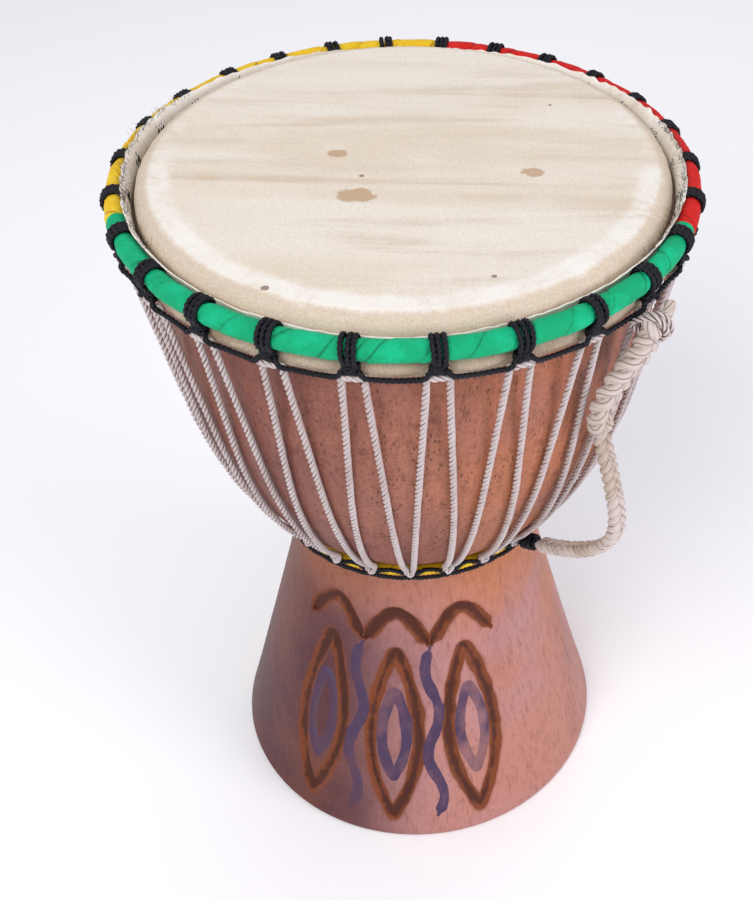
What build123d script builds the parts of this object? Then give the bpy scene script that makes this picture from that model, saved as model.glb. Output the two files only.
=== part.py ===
from build123d import *
import os
from math import atan2, cos, degrees, hypot, radians, sin, tan

# A small rope-tuned djembe. Millimetres, +Z up, origin on the floor under the middle of the foot.
# The drum's front is the -Y side. An azimuth is counted from +X towards +Y, so the front is 270.

# Crown: a rod ring wound with cloth above a smaller rod ring rolled into the skin.
RING_R = 140.0  # crown ring, axis to the middle of its rod
RING_Z = 401.9
RING_ROD = 4.0  # rod radius
CLOTH = 5.4  # outer radius of the cloth wound round that rod
CLOTH_GAP = 0.1  # between a rod and what is wound round it
FLESH_R = 134.6
FLESH_Z = 389.4
FLESH_ROD = 3.0
ROLL = 4.8  # outer radius of the skin rolled round the flesh ring
CLOTH_SPANS = {"green": (199.0, 341.0), "yellow": (85.0, 199.0), "red": (341.0, 445.0)}

# Shell: outside of the bowl is a quarter of an ellipse, with a straight rim above it.
RIM_R = 129.6
RIM_CREST_R = 122.0
RIM_EDGE = 7.6  # radius of the rounded edge that carries the skin
RIM_INSIDE_EDGE = 5.0
SKIN_GAP = 0.2  # between the rim's crest and the skin
BOWL_Z = 385.0  # height of the ellipse's centre, and of the rim's lower end
BOWL_A = 87.0
BOWL_B = 195.0
INSIDE_R = 117.0
INSIDE_A = 74.4
INSIDE_B = 178.0
BOWL_END = 69.0  # angle along the outside ellipse where the neck begins, degrees
INSIDE_END = 86.6  # the same on the inside, where the throat begins
THROAT_R = 47.0
THROAT_Z = 180.0
NECK_R = 66.5
NECK_Z = 183.0
NECK_MIDDLE = (68.1, 193.4)  # radius and height of a point in the neck's hollow
FOOT_R = 113.3
FOOT_WAIST = (92.2, 82.0)  # radius and height of a point half-way up the foot's side
FOOT_EDGE = 2.6
FOOT_INSIDE_R = 99.5

# Skin
SKIN = 1.2
SKIRT_R = 131.0
HEAD_Z = 411.0  # top of the playing surface

# Waist ring
WAIST_R = 76.7
WAIST_Z = 201.0
WAIST_ROD = 2.0
WAIST_CLOTH = 3.2

# Lacing: twenty-six hitches, a little further apart at the front than at the back.
HITCHES = 26
FIRST_HITCH = 278.0
HITCH_SPREAD = 4.3  # largest shift of a hitch from even spacing, degrees
BLACK_CORD = 1.3  # radius
HITCH_TURNS = 3
HITCH_LAP = 0.2  # how far one turn presses into the next
HITCH_GAP = 0.05  # between a turn and the cloth
HITCH_END = 205.0  # angle round the crown ring where a turn ends, inside the ring, degrees
HITCH_FOOT_R = 140.9
HITCH_FOOT_Z = 393.0
KNOT = 2.6  # radius
KNOT_LENGTH = 8.4
KNOT_EDGE = 1.2
KNOT_PROUD = 0.4  # from the hitch's foot out to the knot's middle
SPAN_GAP = 0.3  # between a strand and the black cord beside it
SPAN_R = 140.6
SPAN_Z = 387.0
WHITE_ROPE = 1.75  # radius
BAR_R = 141.4
BAR_Z = 388.6
BAR_HALF = 2.05  # degrees from a hitch to the strand on each side of it
STRAND_ANGLES = (25.8, 34.0, 42.0, 50.0, 58.0, 66.0)  # along the bowl's ellipse, degrees
STRAND_LIFT = 2.45  # from the wood to the middle of a strand
STRAND_GAP = 0.35  # between the two ends that meet at the foot of a V
STRAND_SPLAY = 0.4  # from a strand's side to the middle of its V, at the foot
STRAND_BEND = 400.0  # largest radius of a strand's bends

# Waist loops
LOOP_LIFT = 4.65  # from the waist ring's middle to the middle of the black cord round it
LOOP_START = -115.0
LOOP_END = 15.0
SCALLOPS = ((18.0, 38.0), (-18.0, -52.0))  # angle round the waist ring at the ends and the middle, degrees
SCALLOP_INSET = 1.3  # degrees
SCALLOP_SHARES = (0.0, 0.2, 0.5, 0.8, 1.0)  # where its points are, along its span

# Carrying loop. A route's points are (azimuth, radius, height).
HANDLE_ROPE = 5.25
HANDLE_ROUTE = (
    (316.2, 133.5, 318.0),
    (316.6, 137.7, 304.2),
    (317.0, 141.6, 289.6),
    (317.5, 145.3, 273.6),
    (317.9, 146.4, 259.6),
    (318.3, 143.2, 245.9),
    (318.7, 134.9, 233.4),
    (319.0, 122.1, 222.1),
    (319.3, 107.7, 212.9),
    (319.6, 95.5, 207.3),
)
PLAIT = 6.5
PLAIT_ROUTE = (
    (320.6, 148.6, 375.5),
    (319.0, 146.5, 368.0),
    (316.5, 144.3, 361.0),
    (313.8, 142.7, 352.5),
    (312.2, 141.2, 343.0),
    (312.4, 139.9, 333.5),
    (314.0, 137.9, 326.5),
    (315.2, 136.4, 323.0),
)
KNOT_PLACE = (320.8, 150.3, 383.0)
KNOT_BALL = 8.0
TIE = 4.0
TIE_LENGTH = 6.0
TIE_EDGE = 1.0
END_GAP = 0.35  # between the loop's round ends and the pieces that hold it
ROOM = 0.1  # round the knot, where the plait leaves it


def place(azimuth, radius, height):
    """A point from its azimuth in degrees, radius and height."""
    return Vector(radius * cos(radians(azimuth)), radius * sin(radians(azimuth)), height)


def bowl_point(angle, lift):
    """Radius and height at an angle along the bowl's outside, lifted off the wood along its normal."""
    c = cos(radians(angle))
    s = sin(radians(angle))
    length = hypot(c / BOWL_A, s / BOWL_B)
    radius = RIM_R - BOWL_A + BOWL_A * c + lift * c / BOWL_A / length
    return radius, BOWL_Z - BOWL_B * s - lift * s / BOWL_B / length


def hitch_azimuths():
    """Azimuth of each hitch, the first one just right of the front, and once more past the last."""
    even = [FIRST_HITCH + 360.0 * k / HITCHES for k in range(HITCHES + 1)]
    return [a + HITCH_SPREAD * sin(radians(a - 270.0)) for a in even]


def bend_radii(points, most=None):
    """The largest arc that each corner of a route has room for, or the given one where that is less."""
    radii = []
    for before, corner, after in zip(points, points[1:], points[2:]):
        turn = (corner - before).get_angle(after - corner)
        shorter = min((corner - before).length, (after - corner).length)
        radius = 0.45 * shorter / tan(radians(turn / 2.0))
        radii.append(radius if most is None else min(radius, most))
    return radii


def rope(points, radius, radii=None):
    """A round rope along straight runs joined by tangent arcs."""
    path = FilletPolyline(*points, radius=radii or bend_radii(points))
    start = Plane(origin=path @ 0, z_dir=path % 0)
    return sweep(start * Circle(radius), path=path)


def ring(radius, height, section, hole=0.0, start=0.0, arc=360.0):
    """A round-section ring, or part of one, with a round hole along its middle."""
    face = Circle(section) - Circle(hole) if hole else Circle(section)
    profile = Plane.XZ * Pos(radius, height) * face
    return Rot(Z=start) * revolve(profile, axis=Axis.Z, revolution_arc=arc)


def group(solids):
    """Separate solids that share one node."""
    return Compound(children=[s for piece in solids for s in piece.solids()])


def shell():
    """Bowl, neck and foot, carved from one block and hollow right through."""
    bowl_r = RIM_R - BOWL_A
    inside_r = INSIDE_R - INSIDE_A
    neck = bowl_point(BOWL_END, 0.0)
    throat = inside_r + INSIDE_A * cos(radians(INSIDE_END))
    throat_z = BOWL_Z - INSIDE_B * sin(radians(INSIDE_END))
    crest_z = HEAD_Z - SKIN - SKIN_GAP
    inner_crest_r = INSIDE_R + RIM_INSIDE_EDGE
    with BuildSketch(Plane.XZ) as section:
        with BuildLine():
            Line((FOOT_INSIDE_R, 0), (FOOT_R - FOOT_EDGE, 0))
            RadiusArc((FOOT_R - FOOT_EDGE, 0), (FOOT_R, FOOT_EDGE), -FOOT_EDGE)
            side = ThreePointArc((FOOT_R, FOOT_EDGE), FOOT_WAIST, (NECK_R, NECK_Z))
            outside = EllipticalCenterArc(
                (bowl_r, BOWL_Z), BOWL_A, BOWL_B, start_angle=-BOWL_END, arc_size=BOWL_END)
            Spline((NECK_R, NECK_Z), NECK_MIDDLE, neck, tangents=[side % 1, outside % 0])
            Line((RIM_R, BOWL_Z), (RIM_R, crest_z - RIM_EDGE))
            RadiusArc((RIM_R, crest_z - RIM_EDGE), (RIM_CREST_R, crest_z), -RIM_EDGE)
            RadiusArc((inner_crest_r, crest_z), (INSIDE_R, crest_z - RIM_INSIDE_EDGE), -RIM_INSIDE_EDGE)
            Line((INSIDE_R, crest_z - RIM_INSIDE_EDGE), (INSIDE_R, BOWL_Z))
            EllipticalCenterArc(
                (inside_r, BOWL_Z), INSIDE_A, INSIDE_B, start_angle=-INSIDE_END, arc_size=INSIDE_END)
            Polyline((throat, throat_z), (THROAT_R, THROAT_Z), (FOOT_INSIDE_R, 0))
        make_face()
    return revolve(section.sketch, axis=Axis.Z)


def drumhead():
    """Skin: playing surface, turned edge, skirt, and the roll round the flesh ring."""
    bend = SKIRT_R - RIM_CREST_R
    inner = SKIRT_R - SKIN
    bend_z = HEAD_Z - bend
    with BuildSketch(Plane.XZ) as section:
        with BuildLine():
            Polyline((0, HEAD_Z - SKIN), (0, HEAD_Z), (RIM_CREST_R, HEAD_Z))
            RadiusArc((RIM_CREST_R, HEAD_Z), (SKIRT_R, bend_z), bend)
            Polyline((SKIRT_R, bend_z), (SKIRT_R, FLESH_Z), (inner, FLESH_Z), (inner, bend_z))
            RadiusArc((inner, bend_z), (RIM_CREST_R, HEAD_Z - SKIN), -(bend - SKIN))
            Line((RIM_CREST_R, HEAD_Z - SKIN), (0, HEAD_Z - SKIN))
        make_face()
        with Locations((FLESH_R, FLESH_Z)):
            Circle(ROLL)
            Circle(FLESH_ROD + CLOTH_GAP, mode=Mode.SUBTRACT)
    return revolve(section.sketch, axis=Axis.Z)


def crown_cloth(colour):
    """Cloth of one colour, wound round its share of the crown ring."""
    start, end = CLOTH_SPANS[colour]
    gap = degrees(CLOTH_GAP / RING_R)
    return ring(RING_R, RING_Z, CLOTH, RING_ROD + CLOTH_GAP, start + gap, end - start - 2 * gap)


def hitch():
    """One hitch at azimuth 0: black cord over the crown ring, its turns held by a knot."""
    lift = CLOTH + BLACK_CORD + HITCH_GAP
    reach = hypot(HITCH_FOOT_R - RING_R, HITCH_FOOT_Z - RING_Z)
    down = degrees(atan2(HITCH_FOOT_Z - RING_Z, HITCH_FOOT_R - RING_R))
    away = degrees(atan2((reach**2 - lift**2) ** 0.5, lift))
    touch = down + away
    over = HITCH_END - touch
    arc = Plane.XZ * CenterArc((RING_R, RING_Z), lift, touch, over)
    foot = Vector(HITCH_FOOT_R, 0, HITCH_FOOT_Z)
    path = Wire([Line(foot, arc @ 0).edge(), arc.edge()])
    start = Plane(origin=foot, z_dir=(arc @ 0) - foot)
    turn = sweep(start * Circle(BLACK_CORD), path=path)
    step = degrees((2 * BLACK_CORD - HITCH_LAP) / (RING_R + CLOTH))
    turns = [Rot(Z=step * (k - (HITCH_TURNS - 1) / 2)) * turn for k in range(HITCH_TURNS)]
    bar = Cylinder(KNOT, KNOT_LENGTH, rotation=(90, 0, 0))
    rounded = fillet(bar.edges().filter_by(GeomType.CIRCLE), KNOT_EDGE)
    knot = Pos(HITCH_FOOT_R + KNOT_PROUD, 0, HITCH_FOOT_Z) * rounded
    return knot + turns


def crown_hitches(azimuths):
    """The hitches all round the crown."""
    one = hitch()
    return group(Rot(Z=a) * one for a in azimuths[:-1])


def crown_cord(azimuths):
    """Black cord from each hitch to the next, just below the skin's roll."""
    inset = BAR_HALF + degrees((WHITE_ROPE + SPAN_GAP) / SPAN_R)
    return group(
        ring(SPAN_R, SPAN_Z, BLACK_CORD, start=a + inset, arc=b - a - 2 * inset)
        for a, b in zip(azimuths, azimuths[1:])
    )


def strand_points(top, bottom):
    """A strand from a bar's end at one azimuth, down the bowl to the foot of a V at another."""
    points = [place(top, BAR_R, BAR_Z)]
    _, lowest = bowl_point(STRAND_ANGLES[-1], STRAND_LIFT)
    for angle in STRAND_ANGLES:
        radius, height = bowl_point(angle, STRAND_LIFT)
        share = (BAR_Z - height) / (BAR_Z - lowest)
        points.append(place(top + (bottom - top) * share, radius, height))
    return points


def tension_cord(azimuths):
    """White cord: under each hitch, then down both sides to the middle of the Vs at the waist."""
    foot_r, _ = bowl_point(STRAND_ANGLES[-1], STRAND_LIFT)
    foot_turn = degrees((WHITE_ROPE + STRAND_SPLAY) / foot_r)
    gap = degrees(STRAND_GAP / 2 / foot_r)
    middles = [(a + b) / 2 for a, b in zip(azimuths, azimuths[1:])]
    pieces = []
    for k, azimuth in enumerate(azimuths[:-1]):
        left = middles[k - 1] - (360.0 if k == 0 else 0.0)
        right = middles[k]
        down = strand_points(azimuth + BAR_HALF, right - foot_turn)
        up = strand_points(azimuth - BAR_HALF, left + foot_turn)
        points = up[::-1] + down
        pieces.append(rope(points, WHITE_ROPE, bend_radii(points, STRAND_BEND)))
        pieces += [v_foot(left + foot_turn, left + gap), v_foot(right - foot_turn, right - gap)]
    return group(pieces)


def v_foot(strand, middle):
    """The short turned end of a strand, from the strand's azimuth to the middle of its V."""
    radius, height = bowl_point(STRAND_ANGLES[-1], STRAND_LIFT)
    start, arc = sorted((strand, middle))
    return ring(radius, height, WHITE_ROPE, start=start, arc=arc - start)


def waist_loops(azimuths):
    """Black cord round the waist ring at the foot of each V, and the scallops from each to the next."""
    middles = [(a + b) / 2 for a, b in zip(azimuths, azimuths[1:])]
    middles.append(middles[0] + 360.0)
    path = Plane.XZ * CenterArc((WAIST_R, WAIST_Z), LOOP_LIFT, LOOP_START, LOOP_END - LOOP_START)
    turn = sweep(Plane(origin=path @ 0, z_dir=path % 0) * Circle(BLACK_CORD), path=path)
    pieces = [Rot(Z=m) * turn for m in middles[:-1]]
    for a, b in zip(middles, middles[1:]):
        pieces += [rope(scallop_points(a, b, ends, middle), BLACK_CORD) for ends, middle in SCALLOPS]
    return group(pieces)


def scallop_points(a, b, ends, middle):
    """A shallow curve between two waist loops, lying on the ring's cloth at the given angles round it."""
    inset = SCALLOP_INSET + degrees(BLACK_CORD / WAIST_R)
    start = a + inset
    span = b - inset - start
    points = []
    for share in SCALLOP_SHARES:
        angle = radians(ends + (middle - ends) * 4 * share * (1 - share))
        radius = WAIST_R + LOOP_LIFT * cos(angle)
        points.append(place(start + span * share, radius, WAIST_Z + LOOP_LIFT * sin(angle)))
    return points


def handle_rope():
    """The free part of the carrying loop, with round ends on the line that it swings about."""
    points = [place(*p) for p in HANDLE_ROUTE]
    radii = bend_radii(points)
    print("handle_rope radii", [round(r, 1) for r in radii])
    tube = rope(points, HANDLE_ROPE, radii)
    length = FilletPolyline(*points, radius=radii).length
    print("handle_rope length", round(length, 1))
    ends = [Pos(p.X, p.Y, p.Z) * Sphere(HANDLE_ROPE) for p in (points[0], points[-1])]
    return tube + ends


def handle_plait():
    """The doubled, plaited part of the carrying loop that lies against the lacing."""
    points = [place(*p) for p in PLAIT_ROUTE]
    end = place(*HANDLE_ROUTE[0])
    top = place(*KNOT_PLACE)
    body = rope(points, PLAIT)
    loop_end = Pos(end.X, end.Y, end.Z) * Sphere(HANDLE_ROPE + END_GAP)
    knot = Pos(top.X, top.Y, top.Z) * Sphere(KNOT_BALL + ROOM)
    return body - loop_end - knot


def handle_knot():
    """The stopper knot that holds the carrying loop at the crown."""
    top = place(*KNOT_PLACE)
    return Pos(top.X, top.Y, top.Z) * Sphere(KNOT_BALL)


def handle_tie():
    """The lashing that holds the carrying loop's lower end to the waist ring."""
    before, end = [place(*p) for p in HANDLE_ROUTE[-2:]]
    along = (end - before).normalized()
    start = end + along * (HANDLE_ROPE + END_GAP)
    bar = extrude(Plane(origin=start, z_dir=along) * Circle(TIE), TIE_LENGTH)
    return fillet(bar.edges().filter_by(GeomType.CIRCLE), TIE_EDGE)


def nodes():
    """Every node's shape under its name."""
    azimuths = hitch_azimuths()
    made = {
        "shell": shell(),
        "drumhead": drumhead(),
        "flesh_ring": ring(FLESH_R, FLESH_Z, FLESH_ROD),
        "crown_ring": ring(RING_R, RING_Z, RING_ROD),
        "crown_hitches": crown_hitches(azimuths),
        "crown_cord": crown_cord(azimuths),
        "tension_cord": tension_cord(azimuths),
        "waist_ring": ring(WAIST_R, WAIST_Z, WAIST_ROD),
        "waist_cloth": ring(WAIST_R, WAIST_Z, WAIST_CLOTH, WAIST_ROD + CLOTH_GAP),
        "waist_loops": waist_loops(azimuths),
        "handle_knot": handle_knot(),
        "handle_plait": handle_plait(),
        "handle_rope": handle_rope(),
        "handle_tie": handle_tie(),
    }
    for colour in CLOTH_SPANS:
        made["crown_cloth_" + colour] = crown_cloth(colour)
    return made


os.makedirs("parts", exist_ok=True)
for name, shape in nodes().items():
    export_step(shape, "parts/" + name + ".step")
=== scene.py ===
import logging
import math
from dataclasses import dataclass, field
from enum import Enum
from typing import Any, Optional, Sequence, Union

import bpy
import numpy as np
from mathutils import Matrix, Vector
from mathutils.kdtree import KDTree


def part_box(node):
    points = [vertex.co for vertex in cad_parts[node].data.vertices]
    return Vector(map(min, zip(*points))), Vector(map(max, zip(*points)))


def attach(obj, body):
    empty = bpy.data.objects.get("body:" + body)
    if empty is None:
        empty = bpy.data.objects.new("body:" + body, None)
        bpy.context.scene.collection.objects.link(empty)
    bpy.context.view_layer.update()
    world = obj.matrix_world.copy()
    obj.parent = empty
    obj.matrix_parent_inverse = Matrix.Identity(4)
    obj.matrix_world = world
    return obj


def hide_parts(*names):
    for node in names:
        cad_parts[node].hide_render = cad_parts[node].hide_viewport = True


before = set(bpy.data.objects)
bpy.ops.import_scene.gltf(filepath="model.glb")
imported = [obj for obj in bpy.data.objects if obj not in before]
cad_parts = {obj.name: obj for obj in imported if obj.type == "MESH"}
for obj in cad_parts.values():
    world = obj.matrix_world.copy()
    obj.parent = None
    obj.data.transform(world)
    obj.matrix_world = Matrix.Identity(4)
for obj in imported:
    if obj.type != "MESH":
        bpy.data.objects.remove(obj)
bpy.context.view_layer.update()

MM = 0.001
TURN = 2.0 * math.pi
DRUM = "drum"
LOOP = "carrying_loop"

log = logging.getLogger("djembe")
Colour = tuple[float, float, float]
Route = Sequence[tuple[float, float, float]]


# ---------------------------------------------------------------- lines and surfaces


def place(azimuth: float, radius: float, height: float) -> np.ndarray:
    """A point in metres.

    Args:
        azimuth: Degrees from +X towards +Y.
        radius: Distance from the drum's axis, millimetres.
        height: Height above the floor, millimetres.

    Returns:
        The point's x, y and z.
    """
    angle = math.radians(azimuth)
    return np.array([radius * math.cos(angle), radius * math.sin(angle), height]) * MM


def corner_cut(points: np.ndarray, times: int = 3, closed: bool = False) -> np.ndarray:
    """Rounds a line's corners by cutting them, again and again.

    Args:
        points: The line's points, one row each.
        times: How many times every corner is cut.
        closed: Whether the last point joins the first.

    Returns:
        The rounded line's points.
    """
    for _ in range(times):
        before = points if closed else points[:-1]
        after = np.roll(points, -1, axis=0) if closed else points[1:]
        cut = np.empty((2 * len(before), 3))
        cut[0::2] = 0.75 * before + 0.25 * after
        cut[1::2] = 0.25 * before + 0.75 * after
        points = cut if closed else np.vstack([points[:1], cut, points[-1:]])
    return points


def even_steps(points: np.ndarray, step: float, closed: bool = False) -> np.ndarray:
    """Points evenly spaced along a line.

    Args:
        points: The line's points.
        step: The wanted spacing, metres.
        closed: Whether the last point joins the first.

    Returns:
        The new points; a closed line's first point isn't repeated.
    """
    line = np.vstack([points, points[:1]]) if closed else points
    along = np.concatenate([[0.0], np.cumsum(np.linalg.norm(np.diff(line, axis=0), axis=1))])
    count = max(4, int(round(along[-1] / step)))
    at = np.linspace(0.0, along[-1], count + 1)
    at = at[:-1] if closed else at
    return np.stack([np.interp(at, along, line[:, k]) for k in range(3)], axis=1)


def lengths(points: np.ndarray) -> np.ndarray:
    """Distance along a line at each of its points."""
    return np.concatenate([[0.0], np.cumsum(np.linalg.norm(np.diff(points, axis=0), axis=1))])


def side_axes(points: np.ndarray, closed: bool = False, first: Optional[np.ndarray] = None) -> tuple:
    """Two directions across a line at each point, turning as little as possible along it.

    Args:
        points: The line's points.
        closed: Whether the last point joins the first.
        first: The wanted first direction, or None for any.

    Returns:
        The two directions, each an array with one row for each point.
    """
    if closed:
        tangent = np.roll(points, -1, axis=0) - np.roll(points, 1, axis=0)
    else:
        tangent = np.gradient(points, axis=0)
    tangent /= np.linalg.norm(tangent, axis=1)[:, None]
    seed = first if first is not None else np.eye(3)[np.argmin(np.abs(tangent[0]))]
    normal = np.empty_like(points)
    current = np.asarray(seed, float)
    for k, direction in enumerate(tangent):
        current = current - direction * current.dot(direction)
        current = current / np.linalg.norm(current)
        normal[k] = current
    binormal = np.cross(tangent, normal)
    if closed:
        back = normal[-1] - tangent[0] * normal[-1].dot(tangent[0])
        miss = math.atan2(back.dot(binormal[0]), back.dot(normal[0]))
        turn = -miss * np.linspace(0.0, 1.0, len(points))[:, None]
        normal, binormal = (
            normal * np.cos(turn) + binormal * np.sin(turn),
            binormal * np.cos(turn) - normal * np.sin(turn),
        )
    return normal, binormal


def arc(centre: tuple[float, float], radius: float, angles: np.ndarray) -> np.ndarray:
    """Points round an arc of a profile, as radius and height.

    Args:
        centre: The arc's middle.
        radius: Its radius.
        angles: Where on it the points are, radians.

    Returns:
        One row for each angle.
    """
    return np.stack([centre[0] + radius * np.cos(angles), centre[1] + radius * np.sin(angles)], 1)


def outward_of(profile: np.ndarray) -> np.ndarray:
    """Outward direction across a profile at each of its points."""
    tangent = np.gradient(profile, axis=0)
    tangent /= np.linalg.norm(tangent, axis=1)[:, None] + 1e-9
    return np.column_stack([tangent[:, 1], -tangent[:, 0]])


def turned_rings(radius: np.ndarray, height: np.ndarray, azimuth: np.ndarray) -> np.ndarray:
    """Points in metres at every azimuth, from radii and heights in millimetres."""
    return np.stack([radius * np.cos(azimuth), radius * np.sin(azimuth), height + 0.0 * azimuth], -1) * MM


@dataclass
class Ripples:
    """Smooth, repeatable unevenness: a sum of waves with fixed random directions."""

    seed: int
    waves: int = 14

    def at(self, u: np.ndarray, v: np.ndarray, fine: float = 1.0) -> np.ndarray:
        """Height of the ripples.

        Args:
            u: First coordinate, radians or any scaled length.
            v: Second coordinate.
            fine: How many times finer the ripples are than one per unit.

        Returns:
            Heights of about -1 to 1.
        """
        draw = np.random.default_rng(self.seed)
        total = np.zeros(np.broadcast(u, v).shape)
        for _ in range(self.waves):
            angle, phase = draw.uniform(0.0, TURN, 2)
            scale = fine * draw.uniform(0.5, 1.8)
            total = total + np.sin(scale * (u * math.cos(angle) + v * math.sin(angle)) + phase)
        return total / math.sqrt(self.waves) * 0.8

    def around(self, angle: np.ndarray, v: np.ndarray, turns: int, fine: float = 1.0) -> np.ndarray:
        """Ripples that close on themselves after a whole turn.

        Args:
            angle: Angle round the turn, radians.
            v: The other coordinate.
            turns: The most waves in one turn.
            fine: Scale of the other coordinate.

        Returns:
            Heights of about -1 to 1.
        """
        draw = np.random.default_rng(self.seed)
        total = np.zeros(np.broadcast(angle, v).shape)
        for _ in range(self.waves):
            count = int(draw.integers(1, turns + 1))
            slope, phase = draw.uniform(-1.0, 1.0), draw.uniform(0.0, TURN)
            total = total + np.sin(count * angle + slope * fine * v + phase)
        return total / math.sqrt(self.waves) * 0.8


class MeshBatch:
    """Gathers closed surfaces into one mesh, with a tone from 0 to 1 on every point."""

    def __init__(self) -> None:
        """Starts empty."""
        self.points: list[np.ndarray] = []
        self.quads: list[np.ndarray] = []
        self.triangles: list[np.ndarray] = []
        self.tones: dict[str, list[np.ndarray]] = {}
        self.count = 0

    def add(self, rings: np.ndarray, closed: bool = False, **tones: np.ndarray) -> None:
        """Adds a surface made of rings of points.

        Args:
            rings: Points as (ring, place in ring, xyz).
            closed: Whether the last ring joins the first; if not, both ends are capped.
            tones: Named values for the points, as (ring, place in ring).
        """
        n, m = rings.shape[:2]
        index = np.arange(n * m).reshape(n, m) + self.count
        beside = np.roll(index, -1, axis=1)
        last = n if closed else n - 1
        ahead = np.roll(index, -1, axis=0)[:last]
        ahead_beside = np.roll(beside, -1, axis=0)[:last]
        self.quads.append(np.stack([index[:last], beside[:last], ahead_beside, ahead], -1).reshape(-1, 4))
        points = [rings.reshape(-1, 3)]
        values = {name: [value.reshape(-1)] for name, value in tones.items()}
        if not closed:
            first_cap, last_cap = self.count + n * m, self.count + n * m + 1
            points += [rings[:1].mean(axis=1), rings[-1:].mean(axis=1)]
            for name, value in tones.items():
                values[name] += [value[:1].mean(axis=1), value[-1:].mean(axis=1)]
            self.triangles.append(np.stack([beside[0], index[0], np.full(m, first_cap)], -1))
            self.triangles.append(np.stack([index[-1], beside[-1], np.full(m, last_cap)], -1))
        self.points += points
        for name, value in values.items():
            self.tones.setdefault(name, []).extend(value)
        self.count += n * m + (0 if closed else 2)

    def piece(self, name: str, finish: "Finish", body: str, slot: str, *nodes: str) -> bpy.types.Object:
        """Makes the object, dresses it and fixes it to its body.

        Args:
            name: The object's name.
            finish: What it is dressed in.
            body: The body it moves with.
            slot: The record's material slot; not used.
            nodes: The solids that it stands for.

        Returns:
            The finished object.
        """
        mesh = bpy.data.meshes.new(name)
        points = np.concatenate(self.points)
        quads = np.concatenate(self.quads)
        triangles = np.concatenate(self.triangles) if self.triangles else np.zeros((0, 3), int)
        corners = np.concatenate([quads.ravel(), triangles.ravel()]).astype(np.int32)
        starts = np.concatenate(
            [np.arange(len(quads)) * 4, len(quads) * 4 + np.arange(len(triangles)) * 3]
        ).astype(np.int32)
        mesh.vertices.add(len(points))
        mesh.vertices.foreach_set("co", points.astype(np.float32).ravel())
        mesh.loops.add(len(corners))
        mesh.loops.foreach_set("vertex_index", corners)
        mesh.polygons.add(len(starts))
        mesh.polygons.foreach_set("loop_start", starts)
        mesh.polygons.foreach_set("use_smooth", np.ones(len(starts), bool))
        mesh.update(calc_edges=True)
        for tone, values in self.tones.items():
            layer = mesh.attributes.new(tone, "FLOAT", "POINT")
            layer.data.foreach_set("value", np.concatenate(values).astype(np.float32))
        mesh.validate()
        made = bpy.data.objects.new(name, mesh)
        bpy.context.scene.collection.objects.link(made)
        mesh.materials.append(finish.material())
        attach(made, body)
        if nodes:
            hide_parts(*nodes)
        log.info("%s: %d points, %d faces", name, len(points), len(starts))
        return made


@dataclass(frozen=True)
class TwistedRope:
    """Rope or cord laid up from round strands.

    Attributes:
        radius: Outer radius, millimetres.
        pitch: Length of one full turn of a strand, millimetres.
        strands: How many strands.
        sides: Points round the rope.
        depth: How deep the grooves between strands are, 0 to 1.
        uneven: How much the thickness wanders, as a share of the radius.
        seed: Which unevenness it has.
    """

    radius: float
    pitch: float
    strands: int = 3
    sides: int = 18
    depth: float = 1.0
    uneven: float = 0.05
    seed: int = 1

    def lay(self, batch: MeshBatch, path: np.ndarray, closed: bool = False, swell: Any = 1.0) -> None:
        """Adds the rope along a path.

        Args:
            batch: The mesh it goes into.
            path: Evenly spaced points, metres.
            closed: Whether the path closes on itself.
            swell: The radius as a share of the usual one, one number or one for each point.
        """
        normal, binormal = side_axes(path, closed)
        along = lengths(path) / MM
        turns = along / self.pitch
        if closed:
            whole = along[-1] + np.linalg.norm(path[0] - path[-1]) / MM
            turns = along / whole * round(whole / self.pitch * self.strands) / self.strands
        angle = np.arange(self.sides) / self.sides * TURN
        share = TURN / self.strands
        offset = (angle - share / 2) % share - share / 2
        reach, strand = 0.48, 0.52
        outline = reach * np.cos(offset) + np.sqrt(strand**2 - (reach * np.sin(offset)) ** 2)
        outline = 1.0 - (1.0 - outline) * self.depth
        crest = (outline - outline.min()) / (outline.max() - outline.min() + 1e-9)
        wander = 1.0 + self.uneven * Ripples(self.seed).at(along, 0.0 * along, 0.35)
        radius = self.radius * MM * wander * np.broadcast_to(swell, along.shape)
        spin = turns[:, None] * TURN + angle[None, :]
        rings = path[:, None, :] + (radius[:, None] * outline)[:, :, None] * (
            np.cos(spin)[:, :, None] * normal[:, None, :] + np.sin(spin)[:, :, None] * binormal[:, None, :]
        )
        batch.add(rings, closed, crest=np.broadcast_to(crest, spin.shape))


    def follow(self, batch: MeshBatch, corners: Any, times: int = 3, closed: bool = False,
               step: float = 0.75) -> None:
        """Adds the rope along a route whose corners are rounded first.

        Args:
            batch: The mesh it goes into.
            corners: The route's points, metres.
            times: How many times every corner is cut.
            closed: Whether the route closes on itself.
            step: Spacing of the rope's rings, millimetres.
        """
        self.lay(batch, even_steps(corner_cut(np.array(corners), times, closed), step * MM, closed), closed)


# ---------------------------------------------------------------- shaders


class Wire:
    """A shader socket that takes part in ordinary arithmetic."""

    def __init__(self, box: "Paintbox", socket: bpy.types.NodeSocket) -> None:
        """Wraps an output socket."""
        self.box = box
        self.socket = socket

    def __add__(self, other: "Term") -> "Wire":
        """Sum."""
        return self.box.math("ADD", self, other)

    __radd__ = __add__

    def __mul__(self, other: "Term") -> "Wire":
        """Product."""
        return self.box.math("MULTIPLY", self, other)

    __rmul__ = __mul__

    def __sub__(self, other: "Term") -> "Wire":
        """Difference."""
        return self.box.math("SUBTRACT", self, other)

    def __rsub__(self, other: "Term") -> "Wire":
        """Difference, the other way round."""
        return self.box.math("SUBTRACT", other, self)


Term = Union[Wire, float]


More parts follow.
